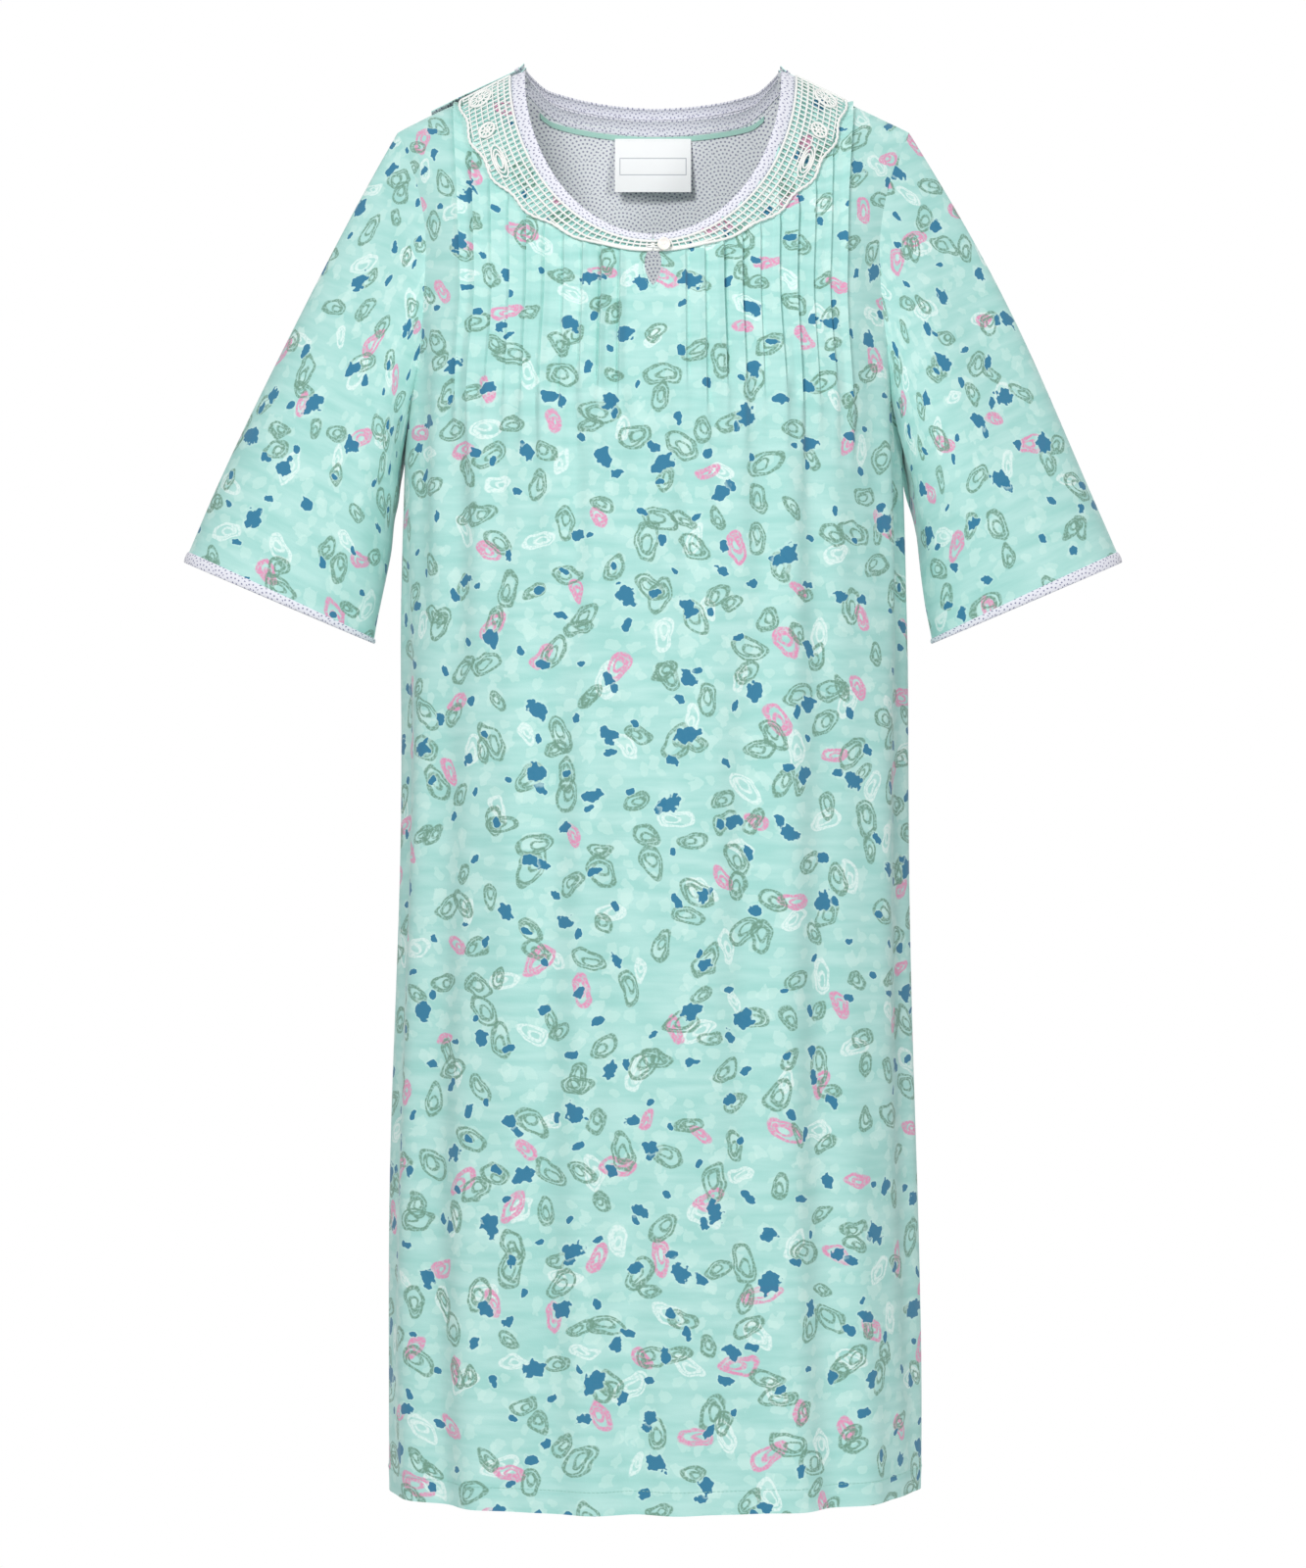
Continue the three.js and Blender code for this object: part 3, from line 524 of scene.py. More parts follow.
class Materials:
    """Every finish on the gown, made once. Cloth patterns read the cloth's own flat coordinates."""

    def __init__(self) -> None:
        """Makes the pattern groups and all materials."""
        self.groups = {"scribbled_loops": loop_group(), "ink_dabs": dab_group()}
        # Printed jersey: dye sits in the yarn, so it is matt with a slight fuzz that pales the folds' edges.
        self.print = self.cloth(Cloth("printed_cotton_jersey_brushed", "#A3D8D1"), self.printed)
        # The print's reverse: the same dye seen through the knit, paler and without crisp ink.
        self.reverse = self.cloth(Cloth("printed_cotton_jersey_reverse", "#CFE9E3"))
        # Dotted cotton lining: a bleached plain weave with a fine dye dot, cooler in the gown's own shade.
        self.lining = self.cloth(Cloth("dotted_cotton_lining_woven", "#F6F8FC", grain=0.5),
                                 partial(self.dotted, dot=0.78, scallop=56.0))
        # The same cloth cut on the bias and folded into binding, whiter where it is doubled.
        self.binding = self.cloth(Cloth("dotted_cotton_binding_folded", "#E6E7F0", grain=0.5),
                                  partial(self.dotted, dot=0.7, scallop=30.0))
        # Woven mint tape: tight ribs across its width give it a firm, slightly brighter edge.
        self.tape = self.cloth(Cloth("mint_cotton_tape_woven", "#B5E3D6", grain=0.7))
        # Crocheted cotton yarn: bright, matt, with twisted plies that break up the highlight.
        self.lace = self.cloth(Cloth("cotton_yarn_crocheted", "#F1F2EF", roughness=0.8, grain=0.35))
        # Spun sewing thread: smoother than the cloth, so that each stitch catches a little light.
        self.thread = self.cloth(Cloth("polyester_thread_spun", "#F2F4F3", roughness=0.6, grain=0.3))
        self.mint_thread = self.cloth(Cloth("polyester_thread_mint", "#9CD3C6", roughness=0.6, grain=0.3))
        self.label = self.satin_label()
        # Moulded pearl plastic, polished: a clear coat over a soft white body.
        self.pearl = shaded("pearl_plastic_moulded_polished", Base_Color=colour("#F3F0EA"), Roughness=0.32,
                            IOR=1.53, Coat_Weight=0.6, Coat_Roughness=0.08, Subsurface_Weight=0.1,
                            Subsurface_Scale=0.002)
        # Pressed brass with a bright nickel plate, slightly dulled by washing.
        self.snap = shaded("nickel_plated_brass_pressed", Base_Color=colour("#C9C7C0"), Metallic=1.0,
                           Roughness=0.26)

    def cloth(self, finish: Cloth, pattern: Callable[[NodeTree, Node, str], Node] | None = None) -> Material:
        """Cloth or yarn in one colour, or with a pattern.

        Args:
            finish: what it is made of.
            pattern: draws on the flat cloth, given the tree, the coordinates in mm and the base colour.

        Returns:
            The material.
        """
        material = shaded(finish.name, Roughness=finish.roughness, IOR=1.5, Sheen_Weight=finish.sheen,
                          Sheen_Roughness=0.5)
        tree = material.node_tree
        place = cloth_mm(tree)
        shade = pattern(tree, place, finish.base) if pattern else colour(finish.base)
        feed(tree, shade, shader_input(material, "Base Color"))
        feed(tree, self.knit(tree, place, finish.grain), shader_input(material, "Normal"))
        return material

    @staticmethod
    def knit(tree: NodeTree, place: Node, pitch: float) -> Node:
        """A normal that carries the yarn's fine grain, at a pitch in mm."""
        make = partial(add, tree)
        yarn = make("TexNoise", {"Vector": place, "Scale": 1.0 / pitch, "Detail": 2.0})
        slub = make("TexNoise", {"Vector": place, "Scale": 0.09, "Detail": 2.0})
        height = make("Math.ADD", yarn.outputs[0], make("Math.MULTIPLY", slub.outputs[0], 1.2))
        return make("Bump", {"Height": height, "Strength": 0.35, "Distance": 0.25 * MM})

    def printed(self, tree: NodeTree, place: Node, base: str) -> Node:
        """The floral print: a watery ground, then each layer of motifs in turn."""
        make = partial(add, tree)
        streaks = make("Mapping", {"Vector": place, "Scale": (0.020, 0.11, 1.0)})
        water = make("TexNoise", {"Vector": streaks, "Scale": 1.0, "Detail": 4.0}).outputs[0]
        shade = tint(tree, make("MapRange", {0: water, 1: 0.36, 2: 0.66}), colour(base), "#B9E4DE")
        for layer in PRINT_LAYERS:
            given = {label: getattr(layer, label.lower(), place) for label in MOTIF_INPUTS}
            given["Turn"] = math.radians(layer.turn)
            drawn = make("Group", given, node_tree=self.groups[layer.kind])
            if layer.halo:
                ring = make("Math.MULTIPLY", drawn.outputs["Halo"], layer.halo)
                shade = tint(tree, ring, shade, "#CDEFE8")
            cover = make("Math.MULTIPLY", drawn.outputs["Mask"], layer.strength)
            shade = tint(tree, cover, shade, layer.ink)
        return shade

    def dotted(self, tree: NodeTree, place: Node, base: str, dot: float, scallop: float,
               pitch: float = 3.3) -> Node:
        """Fine dots in rows that follow overlapping scallops.

        Args:
            tree: the material's tree.
            place: the flat cloth's coordinates in mm.
            base: the ground's colour.
            dot: a dot's radius in mm.
            scallop: the width of one scallop in mm.
            pitch: the distance between dots in mm.

        Returns:
            The colour.
        """
        make = partial(add, tree)
        part = make("SeparateXYZ", place)
        radius, angle = self.scallops(tree, part.outputs[0], part.outputs[1], scallop)
        ring = make("Math.FLOOR", make("Math.DIVIDE", radius, pitch))
        middle = make("Math.MULTIPLY", make("Math.ADD", ring, 0.5), pitch)
        across = make("Math.SUBTRACT", radius, middle)
        count = make("Math.ROUND", make("Math.DIVIDE", make("Math.MULTIPLY", middle, math.pi), pitch))
        step = make("Math.MULTIPLY", make("Math.DIVIDE", angle, math.pi), count)
        along = make("Math.MULTIPLY", make("Math.SUBTRACT", make("Math.FRACT", step), 0.5), pitch)
        square = make("Math.ADD", make("Math.POWER", across, 2.0), make("Math.MULTIPLY", along, along))
        dots = fade(tree, make("Math.SQRT", square), dot * 0.7, dot * 1.25)
        return tint(tree, make("Math.MULTIPLY", dots, 0.85), colour(base), "#66688F")

    @staticmethod
    def scallops(tree: NodeTree, x: NodeSocket, y: NodeSocket, width: float) -> tuple[Node, Node]:
        """The distance and angle from the centre of the scallop on top: rows overlap like roof tiles."""
        make = partial(add, tree)
        rise = width / 4
        found = []
        for behind in (0.0, 1.0):
            row = make("Math.SUBTRACT", make("Math.FLOOR", make("Math.DIVIDE", y, rise)), behind)
            dy = make("Math.SUBTRACT", y, make("Math.MULTIPLY", row, rise))
            half = make("Math.MULTIPLY", make("Math.FLOORED_MODULO", row, 2.0), 0.5)
            nearest = make("Math.ROUND", make("Math.SUBTRACT", make("Math.DIVIDE", x, width), half))
            dx = make("Math.SUBTRACT", x, make("Math.MULTIPLY", make("Math.ADD", nearest, half), width))
            square = make("Math.ADD", make("Math.MULTIPLY", dx, dx), make("Math.MULTIPLY", dy, dy))
            found.append((make("Math.SQRT", square), make("Math.ARCTAN2", dy, dx)))
        far, near = found
        on_top = make("Math.LESS_THAN", near[0], width / 2)
        return tuple(make("Mix", {0: on_top, 2: under, 3: over}) for under, over in zip(far, near))

    @staticmethod
    def satin_label() -> Material:
        """Printed satin: filament yarn gives a soft sheen. Only a plain grey frame is printed on it."""
        material = shaded("polyester_satin_label_printed", Roughness=0.42, IOR=1.55, Sheen_Weight=0.1)
        tree = material.node_tree
        make = partial(add, tree)
        part = make("SeparateXYZ", cloth_mm(tree))
        frame_half_width, frame_half_height, frame_drop = 26.0, 6.5, 1.0
        from_side = make("Math.SUBTRACT", make("Math.ABSOLUTE", part.outputs[0]), frame_half_width)
        level = make("Math.ADD", part.outputs[1], frame_drop)
        from_end = make("Math.SUBTRACT", make("Math.ABSOLUTE", level), frame_half_height)
        away = make("Math.ABSOLUTE", make("Math.MAXIMUM", from_side, from_end))
        shade = tint(tree, fade(tree, away, 0.2, 0.45), colour("#F8F9FA"), "#A9ADB6")
        feed(tree, shade, shader_input(material, "Base Color"))
        return material


# ---- cloth meshes --------------------------------------------------------------------------------

def new_object(name: str, points: Array, faces: Sequence[Sequence[int]],
               materials: Iterable[Material], flat: Array | None = None) -> Object:
    """A smooth mesh object in the imported CAD's frame.

    Args:
        name: the piece's name.
        points: vertices in mm.
        faces: vertex numbers of each face.
        materials: its materials, in slot order.
        flat: each vertex's place on the flat cloth in mm, for its pattern.

    Returns:
        The object, linked to the scene.
    """
    mesh = bpy.data.meshes.new(name)
    mesh.from_pydata((np.asarray(points, float) * MM).tolist(), [], [list(map(int, f)) for f in faces])
    for material in materials:
        mesh.materials.append(material)
    layer = mesh.uv_layers.new(name="cloth")
    place = np.asarray(points, float)[:, [0, 2]] if flat is None else np.asarray(flat, float)
    corners = np.empty(len(mesh.loops), dtype=np.int32)
    mesh.loops.foreach_get("vertex_index", corners)
    layer.data.foreach_set("uv", (place[corners] * MM).astype(np.float32).ravel())
    mesh.polygons.foreach_set("use_smooth", np.ones(len(mesh.polygons), dtype=bool))
    mesh.validate()
    mesh.update()
    obj = bpy.data.objects.new(name, mesh)
    bpy.context.scene.collection.objects.link(obj)
    return obj


def grid_faces(rows: int, columns: int, closed: bool = False, flip: bool = False) -> list[tuple[int, ...]]:
    """Four-sided faces of a grid of rows by columns, joined round across the columns if closed."""
    faces = []
    for r in range(rows - 1):
        for c in range(columns if closed else columns - 1):
            d = (c + 1) % columns
            face = (r * columns + c, r * columns + d, (r + 1) * columns + d, (r + 1) * columns + c)
            faces.append(face[::-1] if flip else face)
    return faces


def turned_in(points: Array, middle: Array) -> bool:
    """True if a grid's faces, taken in order, look towards its middle.

    Args:
        points: the grid, (rows, columns, 3).
        middle: the point or points that the cloth goes round.

    Returns:
        Whether its faces have to be turned round.
    """
    across = points[:-1, 1:] - points[:-1, :-1]
    down = points[1:, :-1] - points[:-1, :-1]
    outwards = points[:-1, :-1] - middle
    return float((np.cross(across, down) * outwards).sum()) < 0.0


def apply_modifiers(obj: Object) -> None:
    """Replaces the object's mesh with what its modifiers make of it."""
    depsgraph = bpy.context.evaluated_depsgraph_get()
    final = bpy.data.meshes.new_from_object(obj.evaluated_get(depsgraph))
    obj.modifiers.clear()
    obj.data = final


def thicken(obj: Object, thickness: float, inner_slot: int = 0, rim_slot: int = 0) -> None:
    """Gives a one-sided sheet its thickness inwards.

    Args:
        obj: the sheet, its normals pointing outwards.
        thickness: in mm.
        inner_slot: how many slots on the inner face's material is.
        rim_slot: how many slots on the cut edge's material is.
    """
    solid = obj.modifiers.new("thickness", "SOLIDIFY")
    solid.thickness = thickness * MM
    solid.offset = -1.0
    solid.material_offset = inner_slot
    solid.material_offset_rim = rim_slot
    apply_modifiers(obj)
    obj.data.polygons.foreach_set("use_smooth", np.ones(len(obj.data.polygons), dtype=bool))
    obj.data.set_sharp_from_angle(angle=math.radians(50))


@dataclass
class Outline:
    """The cut edges of a panel on the flat cloth, as closed loops of (u, v). The first is the outside."""

    loops: list[Array]

    def contains(self, u: Array, v: Array, margin: float) -> Array:
        """True for the places inside the cloth and further than margin from its edges."""
        inside = np.zeros(u.shape, dtype=bool)
        near = np.zeros(u.shape, dtype=bool)
        for loop in self.loops:
            for (u0, v0), (u1, v1) in zip(loop, np.roll(loop, -1, axis=0)):
                with np.errstate(divide="ignore", invalid="ignore"):
                    crosses = ((v0 > v) != (v1 > v)) & (u < (u1 - u0) * (v - v0) / (v1 - v0) + u0)
                inside ^= crosses
                du, dv = u1 - u0, v1 - v0
                t = np.clip(((u - u0) * du + (v - v0) * dv) / max(du * du + dv * dv, 1e-9), 0, 1)
                near |= np.hypot(u - u0 - t * du, v - v0 - t * dv) < margin
        return inside & ~near


def resample(points: Array, step: float) -> Array:
    """The polyline with a point about every step mm, its ends kept."""
    points = np.asarray(points, float)
    length = np.concatenate([[0.0], np.cumsum(np.hypot(*np.diff(points, axis=0).T))])
    count = max(2, int(round(length[-1] / step)) + 1)
    at = np.linspace(0, length[-1], count)
    return np.stack([np.interp(at, length, points[:, 0]), np.interp(at, length, points[:, 1])], axis=1)


def loop_of(*edges: Array) -> Array:
    """One closed loop from edges that follow each other, without doubled corners."""
    points = [p for edge in edges for p in edge]
    kept = [p for i, p in enumerate(points) if np.hypot(*(np.subtract(p, points[i - 1]))) > 0.05]
    return np.array(kept)


def triangulate(outline: Outline, inner: Array) -> tuple[Array, list[tuple[int, ...]]]:
    """Triangles that fill an outline through the given inner points.

    Args:
        outline: the cloth's edges.
        inner: points inside it, (n, 2).

    Returns:
        The points on the flat cloth and the triangles, facing up.
    """
    points: list = []
    edges: list = []
    for loop in outline.loops:
        first = len(points)
        points.extend(Vector(p) for p in loop)
        edges.extend((first + i, first + (i + 1) % len(loop)) for i in range(len(loop)))
    points.extend(Vector(p) for p in inner)
    flat, _, faces, *_ = delaunay_2d_cdt(points, edges, [], 2, 0.001)
    flat = np.array([tuple(p) for p in flat])
    triangles = np.array(faces)
    middle = flat[triangles].mean(axis=1)
    triangles = triangles[outline.contains(middle[:, 0], middle[:, 1], 0.0)]
    a, b, c = flat[triangles[:, 0]], flat[triangles[:, 1]], flat[triangles[:, 2]]
    area = (b[:, 0] - a[:, 0]) * (c[:, 1] - a[:, 1]) - (c[:, 0] - a[:, 0]) * (b[:, 1] - a[:, 1])
    turned = np.where((area < 0)[:, None], triangles[:, ::-1], triangles)
    used = np.unique(turned)
    number = np.full(len(flat), -1)
    number[used] = np.arange(len(used))
    return flat[used], [tuple(t) for t in number[turned]]


def tube(path: Array, radius: Array | float, sides: int = 6, closed: bool = False) -> tuple[Array, list]:
    """A round yarn along a path, its ends closed.

    Args:
        path: points in mm.
        radius: the yarn's radius in mm, or one for each point.
        sides: how many sides its section has.
        closed: whether the path runs back into its start.

    Returns:
        Points and faces.
    """
    path = np.asarray(path, float)
    count = len(path)
    ahead = np.roll(path, -1, axis=0) - np.roll(path, 1, axis=0)
    if not closed:
        ahead[0], ahead[-1] = path[1] - path[0], path[-1] - path[-2]
    ahead /= np.maximum(np.linalg.norm(ahead, axis=1, keepdims=True), 1e-9)
    up = np.cross(ahead, np.array([0.0, 1.0, 0.0]))
    weak = np.linalg.norm(up, axis=1) < 0.05
    up[weak] = np.cross(ahead[weak], np.array([1.0, 0.0, 0.0]))
    up /= np.maximum(np.linalg.norm(up, axis=1, keepdims=True), 1e-9)
    across = np.cross(up, ahead)
    angle = np.arange(sides) / sides * math.tau
    wide = np.broadcast_to(np.asarray(radius, float), (count,))[:, None, None]
    cosine, sine = np.cos(angle)[None, :, None], np.sin(angle)[None, :, None]
    ring = (up[:, None, :] * cosine + across[:, None, :] * sine) * wide
    points = (path[:, None, :] + ring).reshape(-1, 3)
    faces = grid_faces(count, sides, closed=True)
    if closed:
        last = (count - 1) * sides
        faces += [(last + i, last + (i + 1) % sides, (i + 1) % sides, i) for i in range(sides)]
    else:
        faces += [tuple(reversed(range(sides))), tuple(range((count - 1) * sides, count * sides))]
    return points, faces


def dress(obj: Object, slot: str, *nodes: str, body: str = "") -> Object:
    """Attaches a finished piece, hides the CAD nodes whose place it takes, and logs it.

    Args:
        obj: the piece.
        slot: the name of its material, which is logged.
        nodes: the CAD nodes whose place it takes.
        body: the body that it rides on, or nothing to leave it unattached.

    Returns:
        The piece.
    """
    if body:
        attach(obj, body)
    if nodes:
        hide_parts(*nodes)
    LOG.info("%s: %d faces, %s", obj.name, len(obj.data.polygons), slot)
    return obj


def run_length(points: Array) -> Array:
    """How far along a polyline in space each of its points is."""
    steps = np.linalg.norm(np.diff(points, axis=0), axis=1)
    return np.concatenate([[0.0], np.cumsum(steps)])


class Gatherer:
    """Collects many small shapes into one mesh."""

    def __init__(self) -> None:
        """Starts empty."""
        self.points: list[Array] = []
        self.faces: list[tuple[int, ...]] = []
        self.count = 0

    def take(self, points: Array, faces: Iterable[Sequence[int]]) -> None:
        """Adds one shape."""
        self.points.append(points)
        self.faces.extend(tuple(i + self.count for i in face) for face in faces)
        self.count += len(points)

    def build(self, name: str, material: Material) -> Object:
        """Makes the object, its pattern coordinates seen from in front."""
        return new_object(name, np.concatenate(self.points), self.faces, [material])


# ---- body ----------------------------------------------------------------------------------------

@dataclass(frozen=True)
class Tucks:
    """The pintucks below the collar: folds stitched down side by side, then let go. Lengths in mm."""

    first: float = 24.0
    pitch: float = 14.2
    count: int = 10
    height: float = 3.5
    lean: float = 4.2
    drop: float = 1.3
    groove: float = 2.2
    release: float = -246.0
    fan: float = 0.05
    below_lace: float = 0.35

    def centres(self) -> Array:
        """Each tuck's distance from the middle at the collar, both sides."""
        right = self.first + self.pitch * np.arange(self.count)
        return np.concatenate([-right[::-1], right])

    def spread(self, v: Array) -> Array:
        """How far the tucks have fanned out at a height."""
        return 1.0 + self.fan * smooth((-150.0 - v) / 120.0)

    def relief(self, u: Array, v: Array, open_cloth: Array) -> Array:
        """How far the tucks stand out.

        Args:
            u: distance across the flat cloth.
            v: height on the flat cloth.
            open_cloth: 0 under the lace and 1 well below it.

        Returns:
            The relief in mm.
        """
        total = np.zeros_like(u)
        for number, centre in enumerate(self.centres()):
            outward = math.copysign(1.0, centre)
            away = (u - centre * self.spread(v)) * outward
            fold = np.where(away < 0, 1.0 - smooth(-away / self.lean), 1.0 - smooth(away / self.drop))
            end = self.release - 9.0 * math.sin(number * 2.4) - 6.0 * math.cos(number * 5.1)
            fold = fold - self.groove / self.height * bump(away, self.drop + 1.0, 1.7)
            held = smooth((v - end + 14.0) / 20.0)
            round_fold = bump(away, -1.5, 8.5) * smooth((v - end + 95.0) / 90.0)
            size = self.height * (0.85 + 0.25 * math.sin(number * 1.7))
            total += size * mix(1.15 * round_fold, fold, held)
        return total * mix(self.below_lace, 1.0, open_cloth)


@dataclass(frozen=True)
class Folds:
    """Soft vertical folds that deepen towards the hem, shared by every layer so that they stay nested."""

    start: float = -235.0
    full: float = -620.0
    depth: float = 5.6
    upper_depth: float = 4.2
    seam_ease: float = 26.0

    def at(self, u: Array, v: Array, side: Side) -> Array:
        """The relief in mm of the folds at a place on the cloth."""
        seed = 0.4 if side is Side.FRONT else 2.9
        drift = u + 0.028 * (v + 400.0) + 7.0 * np.sin(v / 170.0 + seed)
        fine = np.sin(drift * math.tau / 31.0 + 1.3 * np.sin(u / 47.0 + seed)) * 0.55
        fine += np.sin(drift * math.tau / 47.0 + seed * 2.0) * 0.75
        fine *= bump(v, -330.0, 190.0) * self.upper_depth * 0.62
        wide = np.sin(drift * math.tau / 74.0 + 0.9 * np.sin(v / 260.0 + seed) + seed)
        wide += 0.55 * np.sin(drift * math.tau / 49.0 + 1.1 + seed * 3.0)
        wide += 0.35 * soft_noise(u / 26.0, v / 150.0, seed)
        wide *= self.depth * 0.62 * smooth((self.start - v) / (self.start - self.full))
        drag = soft_noise(u / 20.0 + v / 34.0, v / 60.0, seed + 5.0) * 0.9 * smooth((v + 330.0) / 120.0)
        inside = 1.0 - smooth((np.abs(u) - (FORM.half_girth - self.seam_ease)) / self.seam_ease)
        at_seam = 1.6 * np.sin(v / 83.0 + np.sign(u)) * smooth((-300.0 - v) / 200.0)
        return (fine + wide + drag) * inside + at_seam * (1.0 - inside)


TUCKS = Tucks()
FOLDS = Folds()


def cloth_points(x: Array, z: Array) -> Array:
    """Flat cloth places of points seen from in front at (x, z)."""
    return np.stack(FORM.to_cloth(*FORM.find(x, z)), axis=-1)


@dataclass
class BodyPanel:
    """A panel of the body between shoulder and hem, cut flat and hung on the form."""

    name: str
    side: Side
    thickness: float = 0.6
    edge_step: float = 3.0
    cut_from: ClassVar[tuple[float, float]] = (0.0, 0.0)  # where on the printed cloth it is cut, mm

    def lift(self, s: Array, h: Array) -> Array:
        """How far outside the form the panel's outer face lies."""
        return np.zeros_like(h)

    def relief(self, u: Array, v: Array) -> Array:
        """The folds of this panel."""
        return FOLDS.at(u, v, self.side)

    @staticmethod
    def hem_step(v: Array) -> Array:
        """The ridge and groove where the turned-up hem is sewn, as a drop in mm."""
        return 0.45 * bump(v, FORM.hem_z + 15.5, 1.6) - 0.4 * bump(v, FORM.hem_z + 17.5, 2.5)

    @staticmethod
    def shoulder_corner() -> tuple[float, float]:
        """Where the armhole meets the shoulder line."""
        z = ARMHOLE.tip_z
        for _ in range(12):
            z = float(FORM.crest(ARMHOLE.x(z)))
        return float(ARMHOLE.x(z)), z

    def shoulder_edge(self, neck_x: float, corner_x: float) -> Array:
        """The edge along the shoulder seam, from the neck outwards, on the wearer's left."""
        s = np.linspace(neck_x, corner_x, 24) / FORM.shoulder_half_width
        return resample(np.stack(FORM.to_cloth(s, np.ones_like(s)), axis=-1), self.edge_step)

    def armhole_edge(self) -> Array:
        """The edge along the armhole, from the shoulder down, on the wearer's left."""
        corner_x, corner_z = self.shoulder_corner()
        z = np.linspace(corner_z, ARMHOLE.underarm_z, 60)
        points = cloth_points(ARMHOLE.x(z), z)
        points[0] = self.shoulder_edge(corner_x - 1.0, corner_x)[-1]
        points[-1, 0] = FORM.half_girth
        return resample(points, self.edge_step)

    def side_edge(self) -> Array:
        """The side seam, from the underarm down, on the wearer's left."""
        girth = FORM.half_girth
        return resample(np.array([[girth, ARMHOLE.underarm_z], [girth, FORM.hem_z]]), 6.0)

    def columns(self) -> Array:
        """The distances across at which the cloth is modelled."""
        return np.arange(-FORM.half_girth, FORM.half_girth, 4.2)

    def inner_points(self, outline: Outline) -> Array:
        """Places inside the panel, finer above the chest than below it."""
        found = []
        girth = FORM.half_girth
        for high, low, pitch, columns in ((60.0, -300.0, 4.5, self.columns()),
                                          (-300.0, FORM.hem_z, 8.0, np.arange(-girth + 2, girth, 4.2))):
            rows = np.arange(high, low, -pitch)
            v, u = [a.ravel() for a in np.meshgrid(rows, columns, indexing="ij")]
            u = u * (TUCKS.spread(v) if self.side is Side.FRONT else 1.0)
            keep = outline.contains(u, v, 0.9)
            found.append(np.stack([u[keep], v[keep]], axis=1))
        return np.concatenate(found)

    def to_space(self, flat: Array) -> Array:
        """The draped places in mm of points on the flat cloth."""
        u, v = flat[:, 0], flat[:, 1]
        s, h = FORM.from_cloth(u, v)
        return FORM.place(s, h, self.side, self.lift(s, h) + self.relief(u, v))

    def drape(self, name: str, outline: Outline, materials: Sequence[Material]) -> Object:
        """Cuts the panel to an outline and hangs it on the form.

        Args:
            name: the piece's name.
            outline: its edges on the flat cloth.
            materials: the outer and the inner face's.

        Returns:
            The panel, with its thickness.
        """
        flat, triangles = triangulate(outline, self.inner_points(outline))
        if self.side is Side.BACK:
            triangles = [t[::-1] for t in triangles]
        obj = new_object(name, self.to_space(flat), triangles, materials, flat + self.cut_from)
        thicken(obj, self.thickness, inner_slot=1)
        return obj

    def declare(self, obj: Object, outline: Outline, flat: tuple[float, float]) -> None:
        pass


class FrontPanel(BodyPanel):
    """The printed front with its pintucks and the keyhole under the neck's middle."""

    keyhole_top = -144.0
    keyhole_length = 33.0
    keyhole_half = 6.25
    under_binding = (107.0, 142.0)

    def relief(self, u: Array, v: Array) -> Array:
        """Folds, with tucks above and the keyhole's faced edge lying flat."""
        s, h = FORM.from_cloth(u, v)
        place = FORM.place(s, h, self.side)
        beyond = np.hypot(place[:, 0] / NECK.lace[0], place[:, 2] / NECK.lace[1])
        open_cloth = smooth((beyond - 0.985) / 0.06)
        flat = bump(u, 0.0, 19.0) * bump(v, -162.0, 40.0)
        hem = self.hem_step(v)
        soft = FOLDS.at(u, v, self.side) * (0.35 + 0.65 * open_cloth)
        return (TUCKS.relief(u, v, open_cloth) + soft) * (1.0 - 0.9 * flat) - hem

    def columns(self) -> Array:
        """Fine at each tuck, so that its crease is sharp."""
        beside = np.array([-4.4, -2.8, -1.4, 0.0, 0.65, 1.3, 2.5, 4.4])
        fine = [c + math.copysign(1.0, c) * d for c in TUCKS.centres() for d in beside]
        middle = np.arange(-18.0, 18.1, 2.4)
        outer = np.arange(TUCKS.centres()[-1] + 5.0, FORM.half_girth, 3.6)
        return np.sort(np.concatenate([fine, middle, outer, -outer]))

    def neck_edge(self) -> Array:
        """Half of the neck's edge, from the middle to the shoulder on the wearer's left."""
        arc = NECK.arc(self.under_binding, np.linspace(1.0, 0.0, 60), Hand.LEFT)
        points = cloth_points(arc[:, 0], arc[:, 1])
        points[-1] = self.shoulder_edge(arc[-1, 0], arc[-1, 0] + 5.0)[0]
        return resample(points, self.edge_step)

    def keyhole(self) -> Array:
        """The keyhole's loop."""
        share = np.linspace(0.0, 1.0, 15)
        half = self.keyhole_half * np.sin(math.pi * share) ** 0.8
        z = self.keyhole_top - self.keyhole_length * share
        right, left = cloth_points(half, z), cloth_points(-half, z)
        return np.concatenate([right, left[-2:0:-1]])

    def outline(self) -> Outline:
        """All of the panel's edges."""
        corner_x, _ = self.shoulder_corner()
        neck = self.neck_edge()
        neck_x = float(NECK.arc(self.under_binding, 0.0, Hand.LEFT)[0])
        left = [neck, self.shoulder_edge(neck_x, corner_x), self.armhole_edge(), self.side_edge()]
        hem = resample(np.array([[FORM.half_girth, FORM.hem_z], [-FORM.half_girth, FORM.hem_z]]), 4.0)
        right = [edge[::-1] * np.array([-1.0, 1.0]) for edge in reversed(left)]
        return Outline([loop_of(*left, hem, *right), self.keyhole()])

    def build(self, materials: Materials) -> Object:
        """Makes the front."""
        outline = self.outline()
        panel = self.drape(self.name, outline, [materials.print, materials.reverse])
        self.declare(panel, outline, (0.56, 1.17))
        return dress(panel, "printed_cotton", "front_panel", body="gown")


